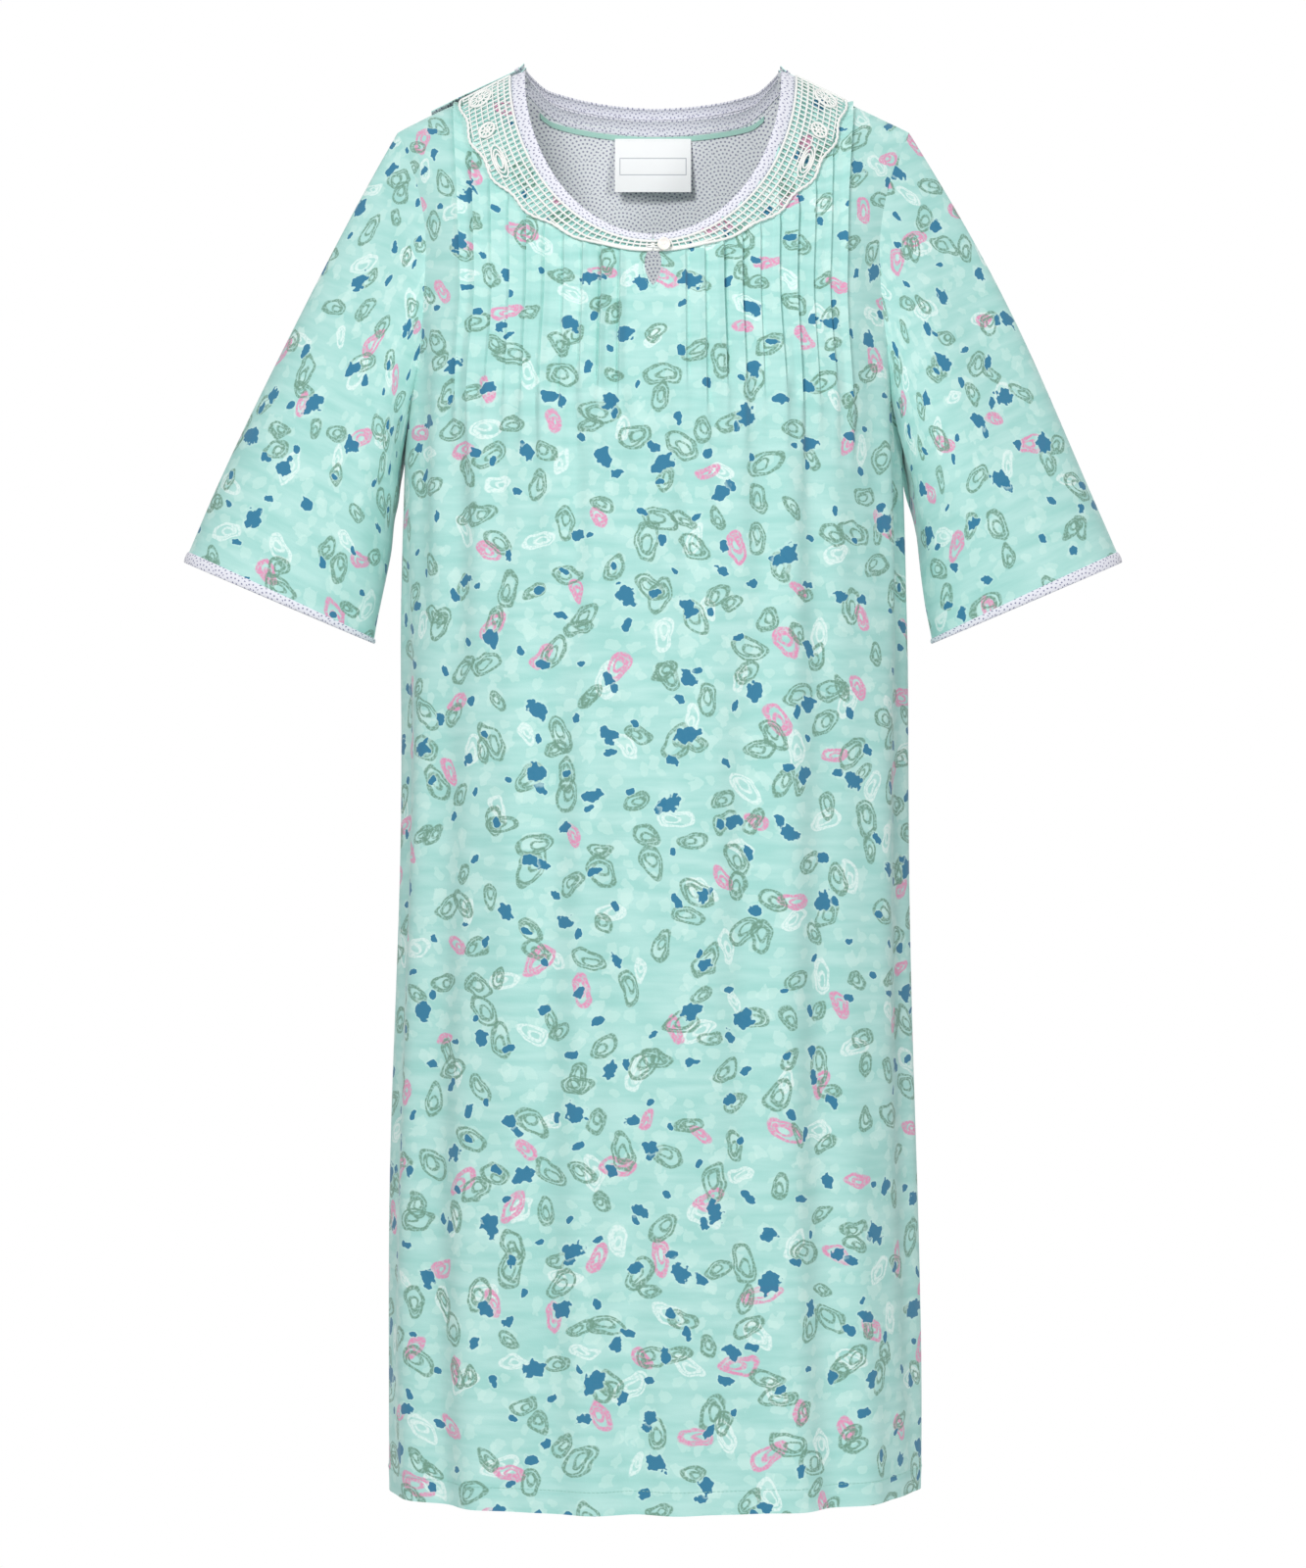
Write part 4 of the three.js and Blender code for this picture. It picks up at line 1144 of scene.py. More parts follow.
@dataclass
class BackPanel(BodyPanel):
    """One of the two overlapping back panels, sewn to the front at one side and free at the other."""

    layer_pitch: float = 6.8
    cut_from: ClassVar[tuple[float, float]] = (1370.0, 240.0)
    inner: bool = False
    settling: float = 0.55
    free_x: float = 168.0
    under_binding: float = 7.5

    def lift(self, s: Array, h: Array) -> Array:
        """The panels drift apart towards the wearer's right, and settle on each other at the shoulder."""
        outer = self.layer_pitch * (1.0 - smooth((s + 1.0) / 2.0))
        settled = 1.0 - self.settling * smooth((h - 0.75) / 0.25)
        return (outer - (self.layer_pitch if self.inner else 0.0)) * settled

    def relief(self, u: Array, v: Array) -> Array:
        """Folds that the two layers share, calm where the label and snaps sit."""
        calm = smooth((v + 260.0) / 90.0)
        hem = self.hem_step(v)
        return FOLDS.at(u, v, self.side) * (1.0 - 0.8 * calm) - hem

    def neck_edge(self) -> Array:
        """The back neck's edge, from the wearer's right to the left."""
        drop = self.under_binding + (NECK.inner_step if self.inner else 0.0)
        turn = np.linspace(-math.pi / 2, math.pi / 2, 80)
        x = NECK.opening[0] * np.sin(turn)
        z = NECK.back_rim(x) - drop
        return resample(cloth_points(x, z), self.edge_step)

    def free_edge(self) -> Array:
        """The free vertical edge on the wearer's left, from the shoulder down to the hem."""
        z = np.linspace(float(FORM.crest(self.free_x)), FORM.hem_z, 200)
        return resample(cloth_points(np.full_like(z, self.free_x), z), 6.0)

    def outline(self) -> Outline:
        """All of the panel's edges, its free side on the wearer's left if it is the inner one."""
        corner_x, _ = self.shoulder_corner()
        mirror = np.array([-1.0, 1.0])
        shoulder = self.shoulder_edge(NECK.opening[0], corner_x)
        sewn = [shoulder, self.armhole_edge(), self.side_edge()]
        free = [self.shoulder_edge(NECK.opening[0], self.free_x), self.free_edge()]
        left, right = (free, sewn) if self.inner else (sewn, free)
        hem = resample(np.array([left[-1][-1], right[-1][-1] * mirror]), 4.0)
        back = [edge[::-1] * mirror for edge in reversed(right)]
        return Outline([loop_of(self.neck_edge(), *left, hem, *back)])


@dataclass(frozen=True)
class FoldLine:
    """The line on which the outer back panel folds open, in mm."""

    x: float = 120.0
    top_x: float = 50.0
    half_width: float = 22.0

    def across(self, slanting: bool) -> tuple[tuple, tuple]:
        """Points before and after the fold, in metres, square to its straight or its slanting stretch."""
        run, rise = (self.x - self.top_x, -FORM.chest_z) if slanting else (0.0, 1.0)
        length = math.hypot(run, rise)
        normal = np.array([-rise, 0.0, -run]) / length
        reach = self.half_width * rise / length
        middle = np.array([self.x, 104.0, FORM.chest_z])
        start, end = (middle - normal * reach) * MM, (middle + normal * reach) * MM
        return tuple(map(float, start)), tuple(map(float, end))


class OuterBack:
    """The outer back panel: one cloth, made as a stretch above the chest line and one below it."""

    def build(self, materials: Materials) -> list[Object]:
        """Makes both stretches."""
        panel = BackPanel("outer_back_cloth", Side.BACK)
        whole = panel.outline().loops[0]
        made = []
        for part, above in (("upper", True), ("lower", False)):
            outline = Outline([self.clip(whole, FORM.chest_z, above)])
            obj = panel.drape(f"outer_back_{part}", outline, [materials.print, materials.lining])
            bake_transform(obj)
            panel.declare(obj, outline, (0.56, 0.27) if above else (0.56, 0.86))
            made.append(dress(obj, "printed_cotton", "outer_back_panel", "outer_back_flap"))
        return made

    @staticmethod
    def clip(loop: Array, height: float, above: bool) -> Array:
        """The part of a loop on one side of a level line, closed along it with points 4 mm apart."""
        sign = 1.0 if above else -1.0
        points: list[Array] = []
        for p, q in zip(loop, np.roll(loop, -1, axis=0)):
            inside_p, inside_q = sign * (p[1] - height) > 0, sign * (q[1] - height) > 0
            if inside_p:
                points.append(p)
            if inside_p != inside_q:
                points.append(p + (q - p) * (height - p[1]) / (q[1] - p[1]))
        closed: list[Array] = []
        for p, q in zip(points, points[1:] + points[:1]):
            closed.append(p)
            if abs(p[1] - height) < 1e-6 and abs(q[1] - height) < 1e-6:
                closed.extend(resample(np.array([p, q]), 4.2)[1:-1])
        return np.array(closed)


class InnerBack:
    """The inner back panel, which lies under the outer one and carries the neck label."""

    def build(self, materials: Materials) -> Object:
        """Makes the panel."""
        panel = BackPanel("inner_back_cloth", Side.BACK, inner=True)
        outline = panel.outline()
        obj = panel.drape(panel.name, outline, [materials.print, materials.lining])
        panel.declare(obj, outline, (0.56, 1.13))
        return dress(obj, "printed_cotton", "inner_back_panel", body="gown")


# ---- sleeves and bindings ------------------------------------------------------------------------

@dataclass
class Sleeve:
    """An elbow sleeve and its cuff band, from the armhole seam to the cuff. Lengths in mm."""

    hand: Hand
    cuff_outer: tuple[float, float] = (360.0, -376.0)
    cuff_inner: tuple[float, float] = (215.0, -438.0)
    cuff_half_depth: float = 42.0
    length: float = 365.0
    band: float = 9.0
    around: int = 144
    rows: int = 84
    belly: float = 0.12
    shoulder_swell: float = 7.0

    def seam(self, angle: Array) -> Array:
        """The armhole seam at angles from the shoulder round by the front, lying on the body's own folds."""
        low, high = ARMHOLE.underarm_z, BodyPanel("body", Side.FRONT).shoulder_corner()[1]
        z = mix(low, high, (1 + np.cos(angle)) / 2)
        s, h = FORM.find(self.hand.value * ARMHOLE.x(z), z)
        u, v = FORM.to_cloth(s, h)
        front = FORM.place(s, h, Side.FRONT, FrontPanel("front", Side.FRONT).relief(u, v))
        back = FORM.place(s, h, Side.BACK, BackPanel("back", Side.BACK).relief(u, v))
        points = np.where((np.sin(angle) >= 0)[:, None], front, back)
        points[np.abs(np.sin(angle)) < 1e-6, 1] = 0.0
        return points

    def cuff(self, angle: Array) -> Array:
        """The cuff's edge at the same angles."""
        outer, inner = np.array(self.cuff_outer), np.array(self.cuff_inner)
        flat = (outer + inner) / 2 + np.cos(angle)[:, None] * (outer - inner) / 2
        depth = -self.cuff_half_depth * np.sin(angle)
        return np.stack([flat[:, 0] * self.hand.value, depth, flat[:, 1]], axis=1)

    def surface(self, shares: Array, outward: Callable[[Array, float], Array]) -> tuple[Array, Array]:
        """Rings of the sleeve.

        Args:
            shares: how far down each ring is, 0 at the armhole and 1 at the cuff's edge.
            outward: gives how far outside the plain sleeve each point of a ring is.

        Returns:
            Points (rings, around, 3) and their places on the flat cloth (rings, around, 2).
        """
        angle = np.arange(self.around) / self.around * math.tau
        seam, cuff = self.seam(angle), self.cuff(angle)
        rings, flats = [], []
        for share in shares:
            ring = mix(seam, cuff, share)
            swell = math.sin(math.pi * min(share, 1.0))
            ring[:, 1] *= 1 + self.belly * swell
            ring[:, 0] += self.hand.value * self.shoulder_swell * swell * np.maximum(0.0, np.cos(angle))
            away = ring - ring.mean(axis=0)
            away /= np.maximum(np.linalg.norm(away, axis=1, keepdims=True), 1e-6)
            ring = ring + away * outward(angle, float(share))[:, None]
            step = np.linalg.norm(np.roll(ring, -1, axis=0) - ring, axis=1)
            girth = np.concatenate([[0.0], np.cumsum(step)[:-1]])
            girth = np.where(angle > math.pi, girth - step.sum(), girth)
            rings.append(ring)
            flats.append(np.stack([girth + 800.0 * self.hand.value, np.zeros_like(girth)], 1))
        points, places = np.array(rings), np.array(flats)
        steps = np.linalg.norm(np.diff(points, axis=0), axis=2)
        places[:-1, :, 1] = np.cumsum(steps[::-1], axis=0)[::-1]
        return points, places

    def folds(self, angle: Array, share: float) -> Array:
        """Soft folds that run down from the shoulder and cross towards the underarm."""
        ease = math.sin(math.pi * min(1.0, max(0.0, share)) ** 0.8)
        seed = 1.2 if self.hand is Hand.LEFT else 3.4
        down = np.sin(angle * 3.0 + seed + share * 3.2) * 2.2
        down = down + np.sin(angle * 5.0 - share * 4.0 + seed * 2) * 1.3
        under = np.maximum(0.0, -np.cos(angle))
        near_underarm = math.exp(-((share - 0.24) / 0.22) ** 2)
        drag = np.sin(share * 19.0 + angle * 2.0 + seed) * 2.6 * under * near_underarm
        pressed = 1.6 * np.maximum(0.0, np.cos(angle)) ** 10
        end = float(smooth((1.0 - share) / 0.2))
        return ((down + pressed) * mix(0.35, 1.0, end) + drag) * ease

    def build(self, materials: Materials) -> list[Object]:
        """Makes the sleeve and its cuff band."""
        word, body = self.hand.word, f"{self.hand.word}_arm"
        band_share = self.band / self.length
        shares = np.linspace(0.0, 1.0 - band_share * 0.8, self.rows)
        points, flats = self.surface(shares, self.folds)
        sleeve = self.wrap(f"{word}_sleeve_cloth", points, flats, [materials.print, materials.reverse], 0.6)
        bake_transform(sleeve)
        dress(sleeve, "printed_cotton", f"{word}_sleeve")
        points, flats = self.surface(np.linspace(1.0 - band_share, 1.0, 9), self.rolled)
        cuff = self.wrap(f"{word}_cuff_binding", points, flats, [materials.binding], 2.0)
        return [sleeve, dress(cuff, "dotted_cotton", f"{word}_cuff_band", body=body)]

    def rolled(self, angle: Array, share: float) -> Array:
        """The cuff band's rounded, doubled fold outside the sleeve's end."""
        band_share = self.band / self.length
        t = (share - (1.0 - band_share)) / band_share
        return self.folds(angle, share) + 0.5 + 0.9 * math.sin(math.pi * min(1.0, max(0.0, t))) ** 0.6

    def wrap(self, name: str, points: Array, flats: Array, materials: Sequence[Material],
             thickness: float) -> Object:
        """Closes the rings into a sleeve, with its seam and the pattern's join under the arm."""
        half = self.around // 2
        points, flats = np.roll(points, -half, axis=1), np.roll(flats, -half, axis=1)
        points = np.concatenate([points, points[:, :1]], axis=1)
        width = np.linalg.norm(np.diff(points, axis=1), axis=2).sum(axis=1)
        first = flats[:, 0, 0]
        flats = np.concatenate([flats, flats[:, :1]], axis=1)
        flats[:, -1, 0] = first + width
        over = flats[:, 0, 0] > flats[:, 1, 0]
        flats[over, 0, 0] -= width[over]
        flats[over, -1, 0] -= width[over]
        rows, columns = points.shape[:2]
        flip = turned_in(points, points[:-1].mean(axis=1, keepdims=True))
        obj = new_object(name, points.reshape(-1, 3), grid_faces(rows, columns, flip=flip), materials,
                         flats.reshape(-1, 2))
        weld(obj)
        thicken(obj, thickness, inner_slot=1 if len(materials) > 1 else 0)
        return obj


def weld(obj: Object) -> None:
    """Joins vertices that lie in the same place."""
    obj.modifiers.new("weld", "WELD").merge_threshold = 0.02 * MM
    apply_modifiers(obj)


@dataclass
class Strip:
    """A narrow folded strip along an edge: a binding or tape. Lengths in mm."""

    name: str
    replaces: tuple[str, ...]
    slot: str
    body: str = "gown"
    bulge: float = 1.0
    thickness: float = 2.0
    columns: int = 140
    rows: int = 7

    def build(self, edge: Callable[[Array, Array], Array], material: Material) -> Object:
        """Makes the strip.

        Args:
            edge: gives the points for arrays of shares along and across.
            material: its finish.

        Returns:
            The strip.
        """
        along, across = np.meshgrid(np.linspace(0, 1, self.columns), np.linspace(0, 1, self.rows))
        points = edge(along, across)
        length = run_length(points[0])
        width = np.linalg.norm(points[-1, self.columns // 2] - points[0, self.columns // 2])
        flat = np.stack([np.broadcast_to(length, along.shape), across * width], axis=-1)
        faces = grid_faces(self.rows, self.columns, flip=turned_in(points, np.array([0.0, 0.0, -200.0])))
        obj = new_object(self.name, points.reshape(-1, 3), faces, [material], flat.reshape(-1, 2))
        thicken(obj, self.thickness)
        return dress(obj, self.slot, *self.replaces, body=self.body)

    def rounding(self, across: Array) -> Array:
        """The strip's rounded top at a share across it."""
        return self.bulge * np.sin(math.pi * np.clip(across, 0.0, 1.0)) ** 0.6


class Bindings:
    """The dotted bindings round the neck and the tape inside the back neck, of which they hide a part."""

    overlap = 3.2

    def front(self, hand: Hand, materials: Materials) -> Object:
        """The binding along one half of the front neck."""
        strip = Strip(f"{hand.word}_front_binding", (f"{hand.word}_front_neck_binding",), "dotted_cotton")

        def edge(along: Array, across: Array) -> Array:
            """Points between the opening's edge and the binding's outer edge."""
            inside, outside = NECK.arc(NECK.opening, along, hand), NECK.arc(NECK.binding, along, hand)
            place = mix(inside, outside, across[..., None])
            place[..., 0] = hand.value * np.maximum(0.7, np.abs(place[..., 0]))
            lift = 0.3 + strip.rounding(across)
            return FORM.place(*FORM.find(place[..., 0], place[..., 1], lift), Side.FRONT, lift)
        return strip.build(edge, materials.binding)

    def back(self, inner: bool, materials: Materials) -> Object:
        """The binding on one back panel's neck edge."""
        panel = BackPanel("edge", Side.BACK, inner=inner)
        top = NECK.inner_step if inner else 0.0
        half = NECK.opening[0] - 0.6
        names = ("inner_neck_binding",) if inner else ("outer_neck_binding", "outer_neck_binding_end")
        layer = "inner" if inner else "outer"
        strip = Strip(f"{layer}_back_binding", names, "dotted_cotton", body="gown" if inner else "")

        def edge(along: Array, across: Array) -> Array:
            """Points away from the neck's edge, downwards behind and outwards at the shoulders."""
            x = half * np.sin((along - 0.5) * math.pi)
            width = NECK.back_binding + (self.overlap if inner else 0.0)
            turned = smooth((np.abs(x) / half - 0.72) / 0.28)
            z = NECK.back_rim(x) - top * (1.0 - 0.6 * turned) - across * width * (1.0 - 0.6 * turned)
            x = x + np.sign(x) * across * width * 0.85 * turned
            s, h = FORM.find(x, z)
            return FORM.place(s, h, Side.BACK, panel.lift(s, h) + 0.3 + strip.rounding(across))
        obj = strip.build(edge, materials.binding)
        if not inner:
            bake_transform(obj)
        return obj

    def tape(self, materials: Materials) -> Object:
        """The mint tape over the inner neck seam."""
        panel = BackPanel("edge", Side.BACK, inner=True)
        strip = Strip("back_neck_tape_woven", ("back_neck_tape",), "mint_tape", bulge=0.3, thickness=0.9)
        top = NECK.inner_step + NECK.back_binding

        def edge(along: Array, across: Array) -> Array:
            """Points just inside the lining."""
            x = (NECK.opening[0] - 9.0) * np.sin((along - 0.5) * math.pi)
            z = NECK.back_rim(x) - top - self.overlap - across * (NECK.tape - self.overlap)
            s, h = FORM.find(x, z)
            return FORM.place(s, h, Side.BACK, panel.lift(s, h) - 0.9)
        return strip.build(edge, materials.tape)


class KeyholeFacing:
    """The small dotted facing that finishes the keyhole from inside."""

    margin = 5.75

    def build(self, materials: Materials) -> Object:
        """Makes the facing."""
        panel = FrontPanel("facing", Side.FRONT)
        top, low = -145.6, FrontPanel.keyhole_top - FrontPanel.keyhole_length - 6.5
        half = FrontPanel.keyhole_half + self.margin
        corners = np.array([[-half, low], [half, low], [half, top], [-half, top]])
        sides = zip(corners, np.roll(corners, -1, 0))
        edge = loop_of(*[resample(cloth_points(*np.array(ends).T), 1.5) for ends in sides])
        hole = panel.keyhole()
        hole = hole[hole[:, 1] < cloth_points(np.array([0.0]), np.array([top - 1.0]))[0, 1]]
        flat, triangles = triangulate(Outline([edge, hole]), np.zeros((0, 2)))
        s, h = FORM.from_cloth(flat[:, 0], flat[:, 1])
        lift = panel.relief(flat[:, 0], flat[:, 1]) - 0.9
        points = FORM.place(s, h, Side.FRONT, lift)
        facing = new_object("keyhole_facing_cloth", points, triangles, [materials.lining], flat)
        thicken(facing, 0.5)
        return dress(facing, "dotted_cotton", "keyhole_facing", body="gown")


# ---- lace, button, label, stitches ---------------------------------------------------------------

@dataclass
class LaceCollar:
    """Half of the crocheted collar, worked in yarn.

    Flat places on it are (along, across): along runs from the shoulder to the middle of the front, and
    across from the neck outwards.
    """

    hand: Hand
    yarn: float = 0.74
    lift: float = 2.3
    rail_pitch: float = 5.2
    rung_pitch: float = 4.8
    inner: tuple[float, float] = (109.5, 143.6)

    def __post_init__(self) -> None:
        """Measures the collar along its middle line."""
        share = np.linspace(0, 1, 400)
        line = mix(NECK.arc(self.inner, share, self.hand), NECK.arc(NECK.lace, share, self.hand), 0.4)
        space = FORM.place(*FORM.find(line[:, 0], line[:, 1], self.lift), Side.FRONT, self.lift)
        self.table = run_length(space)
        self.shares = share
        self.length = float(self.table[-1])
        self.yarns = Gatherer()

    def edges(self, along: Array) -> tuple[Array, Array]:
        """The collar's inner and outer edge at distances along it, seen from in front."""
        share = np.interp(along, self.table, self.shares)
        return NECK.arc(self.inner, share, self.hand), NECK.arc(NECK.lace, share, self.hand)

    def width(self, along: Array) -> Array:
        """The collar's width at a distance along it."""
        inside, outside = self.edges(along)
        return np.linalg.norm(outside - inside, axis=-1)

    def wave(self, along: Array) -> Array:
        """The wavy outer edge's distance from the neck edge."""
        swing = 1.7 * np.sin(along / 21.0 * math.pi) + 0.7 * np.abs(np.sin(along / 5.6 * math.pi))
        return self.width(along) - 1.6 + swing * np.clip((self.width(along) - 8.0) / 14.0, 0.15, 1.0)

    def place(self, flat: Array, height: float = 0.0) -> Array:
        """Points in space for flat places on the collar."""
        along, across = np.clip(flat[:, 0], 0.0, self.length - 0.4), flat[:, 1]
        inside, outside = self.edges(along)
        part = across / np.maximum(np.linalg.norm(outside - inside, axis=-1), 1e-6)
        flat_point = mix(inside, outside, part[:, None])
        lift = self.lift + height
        return FORM.place(*FORM.find(flat_point[:, 0], flat_point[:, 1], lift), Side.FRONT, lift)

    def lay(self, flat: Array, size: float = 1.0, height: float = 0.0, closed: bool = False,
            step: float = 1.3) -> None:
        """Lays a yarn along a flat polyline."""
        flat = np.asarray(flat, float)
        line = resample(np.vstack([flat, flat[:1]]) if closed else flat, step)
        if closed:
            line = line[:-1]
        if len(line) > 2:
            self.yarns.take(*tube(self.place(line, height), self.yarn * size, 6, closed))

    def ring(self, centre: tuple[float, float], radii: tuple[float, float], size: float,
             height: float = 0.0) -> None:
        """An oval ring of yarn."""
        angle = np.linspace(0, math.tau, 40, endpoint=False)
        oval = np.array(centre) + np.array(radii) * np.stack([np.cos(angle), np.sin(angle)], axis=1)
        self.lay(oval, size, height, closed=True)

    def rosette(self, centre: tuple[float, float], radius: float, petals: int) -> None:
        """A flower: a close centre, petals round it and a corded rim."""
        for share, size in ((0.14, 1.1), (0.36, 0.9), (0.98, 1.3)):
            self.ring(centre, (radius * share, radius * share), size, 0.35)
        for number in range(petals):
            turn = number / petals * math.tau
            angle = np.linspace(0, math.tau, 18, endpoint=False)
            out = radius * (0.64 + 0.25 * np.cos(angle))
            side = radius * 0.62 * math.pi / petals * np.sin(angle)
            petal = np.stack([centre[0] + out * math.cos(turn) - side * math.sin(turn),
                              centre[1] + out * math.sin(turn) + side * math.cos(turn)], axis=1)
            self.lay(petal, 0.72, 0.3, closed=True)

    def motifs(self) -> list[tuple[tuple[float, float], tuple[float, float]]]:
        """The places and half sizes that the net leaves free."""
        wide = self.width(np.array([13.0, 52.0, 86.0]))
        return [((13.0, wide[0] * 0.60), (9.4, 9.4)), ((50.0, wide[1] * 0.62), (8.0, 6.6)),
                ((83.0, wide[2] * 0.66), (16.0, 4.6))]

    def net(self) -> None:
        """The square ladder along the neck edge and the bars out to the wavy rim."""
        along = np.arange(0.0, self.length, 1.4)
        inner_rows = [np.minimum(self.rail_pitch * k, self.width(along) * share)
                      for k, share in ((1, 0.36), (2, 0.70))]
        rows = [np.full_like(along, 0.3), *inner_rows, self.wave(along)]
        for row, size in zip(rows, (1.35, 1.0, 1.15, 1.45)):
            self.lay(np.stack([along, row], 1), size)
        stop = np.minimum(self.wave(along) - 0.9, self.width(along) * 0.93)
        for number in range(int(self.length / self.rung_pitch)):
            at = number * self.rung_pitch + 0.8
            marks = [float(np.interp(at, along, row)) for row in rows]
            self.lay(np.array([[at, marks[0]], [at, marks[2]]]), 0.8, step=1.0)
            self.spoke(at, marks[2], float(np.interp(at, along, stop)) + 0.8)
        level = 2.0 * self.rail_pitch + 4.6
        while level < float(self.wave(along).max()):
            run = [(a, level) for a, s in zip(along, stop) if level < s and not self.taken(a, level)]
            for piece in self.runs(run):
                self.lay(np.array(piece), 0.75)
            level += 5.0

    def taken(self, along: float, across: float) -> bool:
        """True within a motif."""
        return any(((along - centre[0]) / half[0]) ** 2 + ((across - centre[1]) / half[1]) ** 2 < 1.0
                   for centre, half in self.motifs())

    @staticmethod
    def runs(points: list[tuple[float, float]]) -> list[list[tuple[float, float]]]:
        """Splits points into unbroken runs."""
        found: list[list[tuple[float, float]]] = []
        for p in points:
            if found and p[0] - found[-1][-1][0] < 2.0:
                found[-1].append(p)
            else:
                found.append([p])
        return [f for f in found if len(f) > 1]

    def spoke(self, along: float, start: float, end: float) -> None:
        """A bar out across the net, broken at the motifs."""
        steps = np.arange(start, end + 0.01, 0.7)
        keep = [(s, along) for s in steps if not self.taken(along, s)]
        for piece in self.runs(keep):
            self.lay(np.array([(a, s) for s, a in piece]), 0.75)

    def build(self, materials: Materials) -> Object:
        """Works the collar."""
        self.net()
        (rose, size), (flower, small), (leaf, long) = self.motifs()
        self.rosette(rose, size[0] - 0.4, 12)
        self.rosette(flower, small[1] - 0.2, 8)
        for share in (1.0, 0.72, 0.44):
            self.ring(leaf, (long[0] * share, long[1] * share), 1.0, 0.25)
        shoulder_end, front_end = self.wave(np.array([0.0, self.length]))
        self.lay(np.array([[0.0, 0.3], [0.0, shoulder_end]]), 1.3)
        self.lay(np.array([[self.length - 0.8, 0.3], [self.length - 0.8, front_end]]), 1.2)
        obj = self.yarns.build(f"{self.hand.word}_lace_yarn", materials.lace)
        return dress(obj, "lace", f"{self.hand.word}_lace_collar", body="gown")


@dataclass
class Stitches:
    """A row of small thread stitches along a path."""

    pitch: float = 3.2
    length: float = 2.3
    radius: float = 0.22

    def row(self, into: Gatherer, path: Array) -> None:
        """Adds the stitches that lie along a path in mm."""
        at = run_length(path)
        for start in np.arange(0.3, at[-1] - self.length, self.pitch):
            t = start + self.length * np.array([0.0, 0.5, 1.0])
            line = np.stack([np.interp(t, at, path[:, k]) for k in range(3)], axis=1)
            into.take(*tube(line, self.radius * np.array([0.55, 1.0, 0.55]), 5))


class Stitching:
    """The visible sewing: twin rows above the hem, and one row round the keyhole."""

    rows = (14.6, 17.4)

    def hem(self, panel: BodyPanel, name: str, start: float, end: float, materials: Materials) -> Object:
        """The twin rows on one panel, between two places across it."""
        gathered = Gatherer()
        for row in self.rows:
            u = np.arange(start, end, 2.5)
            v = np.full_like(u, FORM.hem_z + row)
            s, h = FORM.from_cloth(u, v)
            lift = panel.lift(s, h) + panel.relief(u, v) + 0.12
            Stitches().row(gathered, FORM.place(s, h, panel.side, lift))
        return gathered.build(name, materials.mint_thread)

    def keyhole(self, materials: Materials) -> Object:
        """The row round the keyhole, from its top down each side to its point."""
        gathered = Gatherer()
        share = np.linspace(0.02, 1.0, 40)
        half = (FrontPanel.keyhole_half + 1.8) * np.sin(math.pi * (0.06 + 0.94 * share)) ** 0.6
        half = np.where(share > 0.97, half * (1 - share) / 0.03, half)
        z = FrontPanel.keyhole_top - (FrontPanel.keyhole_length + 2.2) * share
        for hand in Hand:
            s, h = FORM.find(hand.value * half, z)
            relief = FrontPanel("hem", Side.FRONT).relief(*FORM.to_cloth(s, h))
            points = FORM.place(s, h, Side.FRONT, relief + 0.12)
            Stitches(pitch=2.4, length=1.7, radius=0.18).row(gathered, points)
        return gathered.build("keyhole_stitches", materials.mint_thread)

    def build(self, materials: Materials) -> list[Object]:
        """Sews every row."""
        seam = FORM.half_girth - 3
        free = float(cloth_points(np.array([BackPanel.free_x]), np.array([-900.0]))[0, 0]) - 3
        front = self.hem(FrontPanel("hem", Side.FRONT), "front_hem_stitches", -seam, seam, materials)
        outer = self.hem(BackPanel("hem", Side.BACK), "outer_back_hem_stitches", -free, seam, materials)
        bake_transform(outer)
        inner_panel = BackPanel("hem", Side.BACK, inner=True)
        inner = self.hem(inner_panel, "inner_back_hem_stitches", -seam, free, materials)
        still = [front, inner, self.keyhole(materials)]
        return [dress(outer, "thread"), *(dress(obj, "thread", body="gown") for obj in still)]


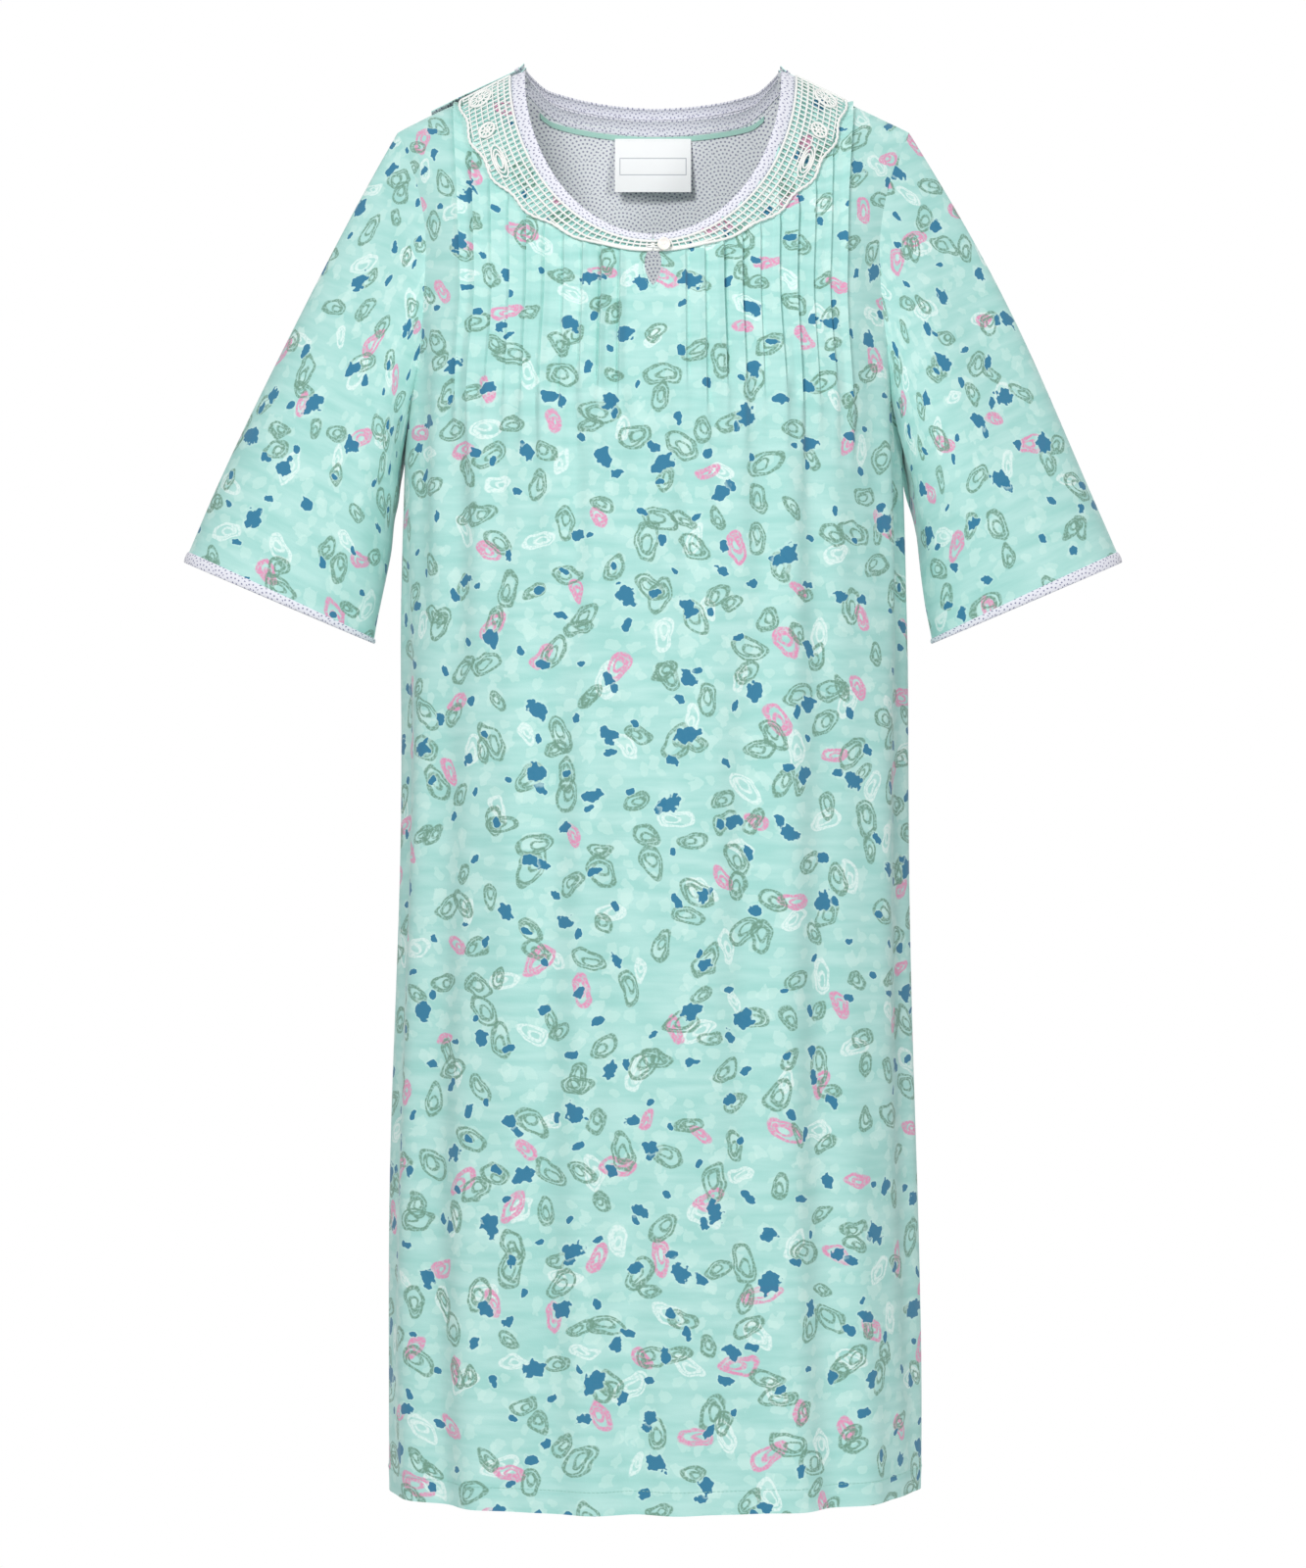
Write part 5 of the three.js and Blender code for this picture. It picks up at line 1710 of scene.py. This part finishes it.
@dataclass
class Closure:
    """The pearl button at the neck, its thread shank and the loop round it. Lengths in mm."""

    centre: tuple[float, float, float] = (8.1, -113.6, -146.5)
    radius: float = 5.0
    thickness: float = 2.4
    segments: int = 48

    def turned(self, profile: Sequence[tuple[float, float]]) -> tuple[Array, list]:
        """A profile of (radius, distance forwards) turned about the button's axis."""
        angle = np.arange(self.segments) / self.segments * math.tau
        rings = [np.stack([r * np.cos(angle), np.full_like(angle, -f), r * np.sin(angle)], axis=1)
                 for r, f in profile]
        points = np.concatenate(rings) + np.array(self.centre)
        faces = grid_faces(len(profile), self.segments, closed=True, flip=True)
        n = self.segments
        faces += [tuple(range(n)), tuple(reversed(range((len(profile) - 1) * n, len(profile) * n)))]
        return points, faces

    def build(self, materials: Materials) -> list[Object]:
        """Makes the button, the threads through it, the shank and the loop."""
        r, t = self.radius, self.thickness
        profile = [(r * 0.70, 0.0), (r * 0.94, t * 0.18), (r, t * 0.42), (r * 0.99, t * 0.66),
                   (r * 0.93, t * 0.88), (r * 0.82, t * 0.98), (r * 0.72, t * 0.93), (r * 0.62, t * 0.80),
                   (r * 0.30, t * 0.76), (0.05, t * 0.76)]
        button = new_object("pearl_button_body", *self.turned(profile), [materials.pearl])
        threads = Gatherer()
        x, y, z = self.centre
        front = y - t * 0.76
        for dx in (-0.85, 0.85):
            bends = ((0.3, -1.0), (-0.25, -0.6), (-0.35, 0.0), (-0.25, 0.6), (0.3, 1.0))
            threads.take(*tube(np.array([[x + dx, front + dy, z + dz] for dy, dz in bends]), 0.28, 8))
        stitched = threads.build("button_sewing_thread", materials.thread)
        dress(button, "pearl_button", "neck_button", body="button")
        dress(stitched, "thread", body="button")
        wound = Gatherer()
        turns = np.linspace(0, 1, 80)
        spiral = np.stack([x + 0.8 * np.cos(turns * 26), y + 0.4 + 2.2 * turns,
                           z + 0.8 * np.sin(turns * 26)], axis=1)
        wound.take(*tube(spiral, 0.24, 6))
        shank = wound.build("button_shank_thread", materials.thread)
        dress(shank, "thread", "button_thread_shank", body="gown")
        twisted = Gatherer()
        reach = 2.1
        angle = np.linspace(-math.pi / 2, math.pi / 2, 14)
        bend = [(x + reach * math.cos(a), y + 1.5, z - reach * math.sin(a)) for a in angle]
        ends = [(-4.4, y + 1.7, z + 1.9), (-1.0, y + 1.5, z + 2.2), (3.5, y + 1.5, z + 2.1)]
        tails = [(3.5, y + 1.5, z - 2.1), (-1.0, y + 1.5, z - 2.0), (-4.4, y + 1.7, z - 1.7)]
        twisted.take(*tube(np.array([*ends, *bend, *tails]), 0.6, 8))
        loop = twisted.build("button_loop_thread", materials.thread)
        return [button, stitched, shank, dress(loop, "thread", "button_loop", body="gown")]


@dataclass
class NeckLabel:
    """The plain woven label under the back neck tape, sewn along its top. Lengths in mm."""

    width: float = 60.0
    height: float = 42.0
    top: float = -38.0
    face: float = 73.1
    bow: float = 0.7

    def build(self, materials: Materials) -> list[Object]:
        """Makes the label and its stitches."""
        columns, rows = 31, 22
        u, v = np.meshgrid(np.linspace(-0.5, 0.5, columns), np.linspace(0.0, 1.0, rows))
        x, z = u * self.width, self.top - v * self.height
        y = self.face - self.bow * np.sin(v * math.pi) * (0.6 + 0.8 * (0.5 - u)) - 0.6 * v
        points = np.stack([x, y, z], axis=-1).reshape(-1, 3)
        flat = np.stack([x, z - self.top + self.height / 2], axis=-1).reshape(-1, 2)
        label = new_object("neck_label_satin", points, grid_faces(rows, columns), [materials.label], flat)
        thicken(label, -0.35)
        dress(label, "label_satin", "neck_label", body="label")
        sewn = Gatherer()
        line = np.array([[x, self.face - 0.15, self.top - 1.6] for x in np.linspace(-28, 28, 30)])
        Stitches(pitch=2.6, length=1.8, radius=0.18).row(sewn, line)
        stitches = sewn.build("neck_label_stitches", materials.thread)
        return [label, dress(stitches, "thread", body="label")]


# ---- setting -------------------------------------------------------------------------------------

@dataclass
class Studio:
    """A pale studio: level floor, soft lamps and a camera level with the middle of the gown. In metres."""

    camera_distance: float = 3.0
    camera_height: float = -0.546
    lens: float = 89.6
    floor: float = -1.30
    floor_radius: float = 0.72
    ambient: float = 0.45

    def paint(self) -> Material:
        """Pale matt paper, close to white so that the floor melts into the backdrop."""
        return shaded("paper_backdrop_matt", Base_Color=colour("#F6F6F5"), Roughness=0.9)

    def lamp(self, name: str, place: tuple[float, float, float], size: float, power: float) -> None:
        """A square soft lamp that looks at the gown's middle."""
        light = bpy.data.lights.new(name, "AREA")
        light.size, light.energy = size, power
        obj = bpy.data.objects.new(name, light)
        bpy.context.scene.collection.objects.link(obj)
        obj.location = place
        obj.rotation_euler = (Vector((0, 0, -0.5)) - Vector(place)).to_track_quat("-Z", "Y").to_euler()

    def build(self) -> None:
        """Sets the floor, the lamps, the surroundings and the camera."""
        scene = bpy.context.scene
        turn = np.arange(96) / 96 * math.tau
        level = np.full_like(turn, self.floor / self.floor_radius)
        rim = np.stack([np.cos(turn), np.sin(turn), level], axis=1)
        floor = new_object("studio_floor", rim * self.floor_radius / MM, [tuple(range(96))], [self.paint()])
        self.lamp("key_lamp", (-0.65, -2.3, 0.65), 0.5, 33.0)
        self.lamp("fill_lamp", (1.3, -2.5, 0.0), 0.5, 16.0)
        self.lamp("back_lamp", (0.8, 2.4, 0.6), 1.6, 34.0)
        self.lamp("top_lamp", (0.2, 0.9, 2.2), 1.8, 12.0)
        world = bpy.data.worlds.new("white_surroundings")
        world.use_nodes = True
        # The backdrop is seen as plain white, and lights the cloth more softly than it looks.
        seen = add(world.node_tree, "LightPath").outputs["Is Camera Ray"]
        strength = add(world.node_tree, "MapRange", {0: seen, 3: self.ambient, 4: 1.0})
        sky = world.node_tree.nodes["Background"]
        sky.inputs["Color"].default_value = (1.0, 1.0, 1.0, 1.0)
        feed(world.node_tree, strength, sky.inputs["Strength"])
        scene.world = world
        scene.view_settings.view_transform = "Standard"
        camera = bpy.data.cameras.new("camera")
        camera.lens, camera.sensor_width = self.lens, 36.0
        camera.sensor_fit = "VERTICAL"
        camera.sensor_height = 36.0
        obj = bpy.data.objects.new("camera", camera)
        obj.location = (0.0, -self.camera_distance, self.camera_height)
        obj.rotation_euler = (math.pi / 2, 0.0, 0.0)
        scene.collection.objects.link(obj)
        scene.camera = obj


def finish_snaps(frame: dict, materials: Materials) -> None:
    """Gives the CAD snaps their nickel finish."""
    for name, node in frame["nodes"].items():
        if "_snap_" in name:
            for slot in node.material_slots:
                slot.link = "OBJECT"
                slot.material = materials.snap
            LOG.info("%s: nickel", name)


def main() -> None:
    """Builds the gown's looks on its frame."""
    logging.basicConfig(level=logging.INFO, format="%(name)s: %(message)s")
    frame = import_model()
    materials = Materials()
    FrontPanel("front_cloth", Side.FRONT).build(materials)
    OuterBack().build(materials)
    InnerBack().build(materials)
    bindings = Bindings()
    for hand in Hand:
        Sleeve(hand).build(materials)
        bindings.front(hand, materials)
        LaceCollar(hand).build(materials)
    bindings.back(False, materials)
    bindings.back(True, materials)
    bindings.tape(materials)
    KeyholeFacing().build(materials)
    Closure().build(materials)
    NeckLabel().build(materials)
    Stitching().build(materials)
    finish_snaps(frame, materials)
    Studio().build()


if __name__ == "__main__":
    main()
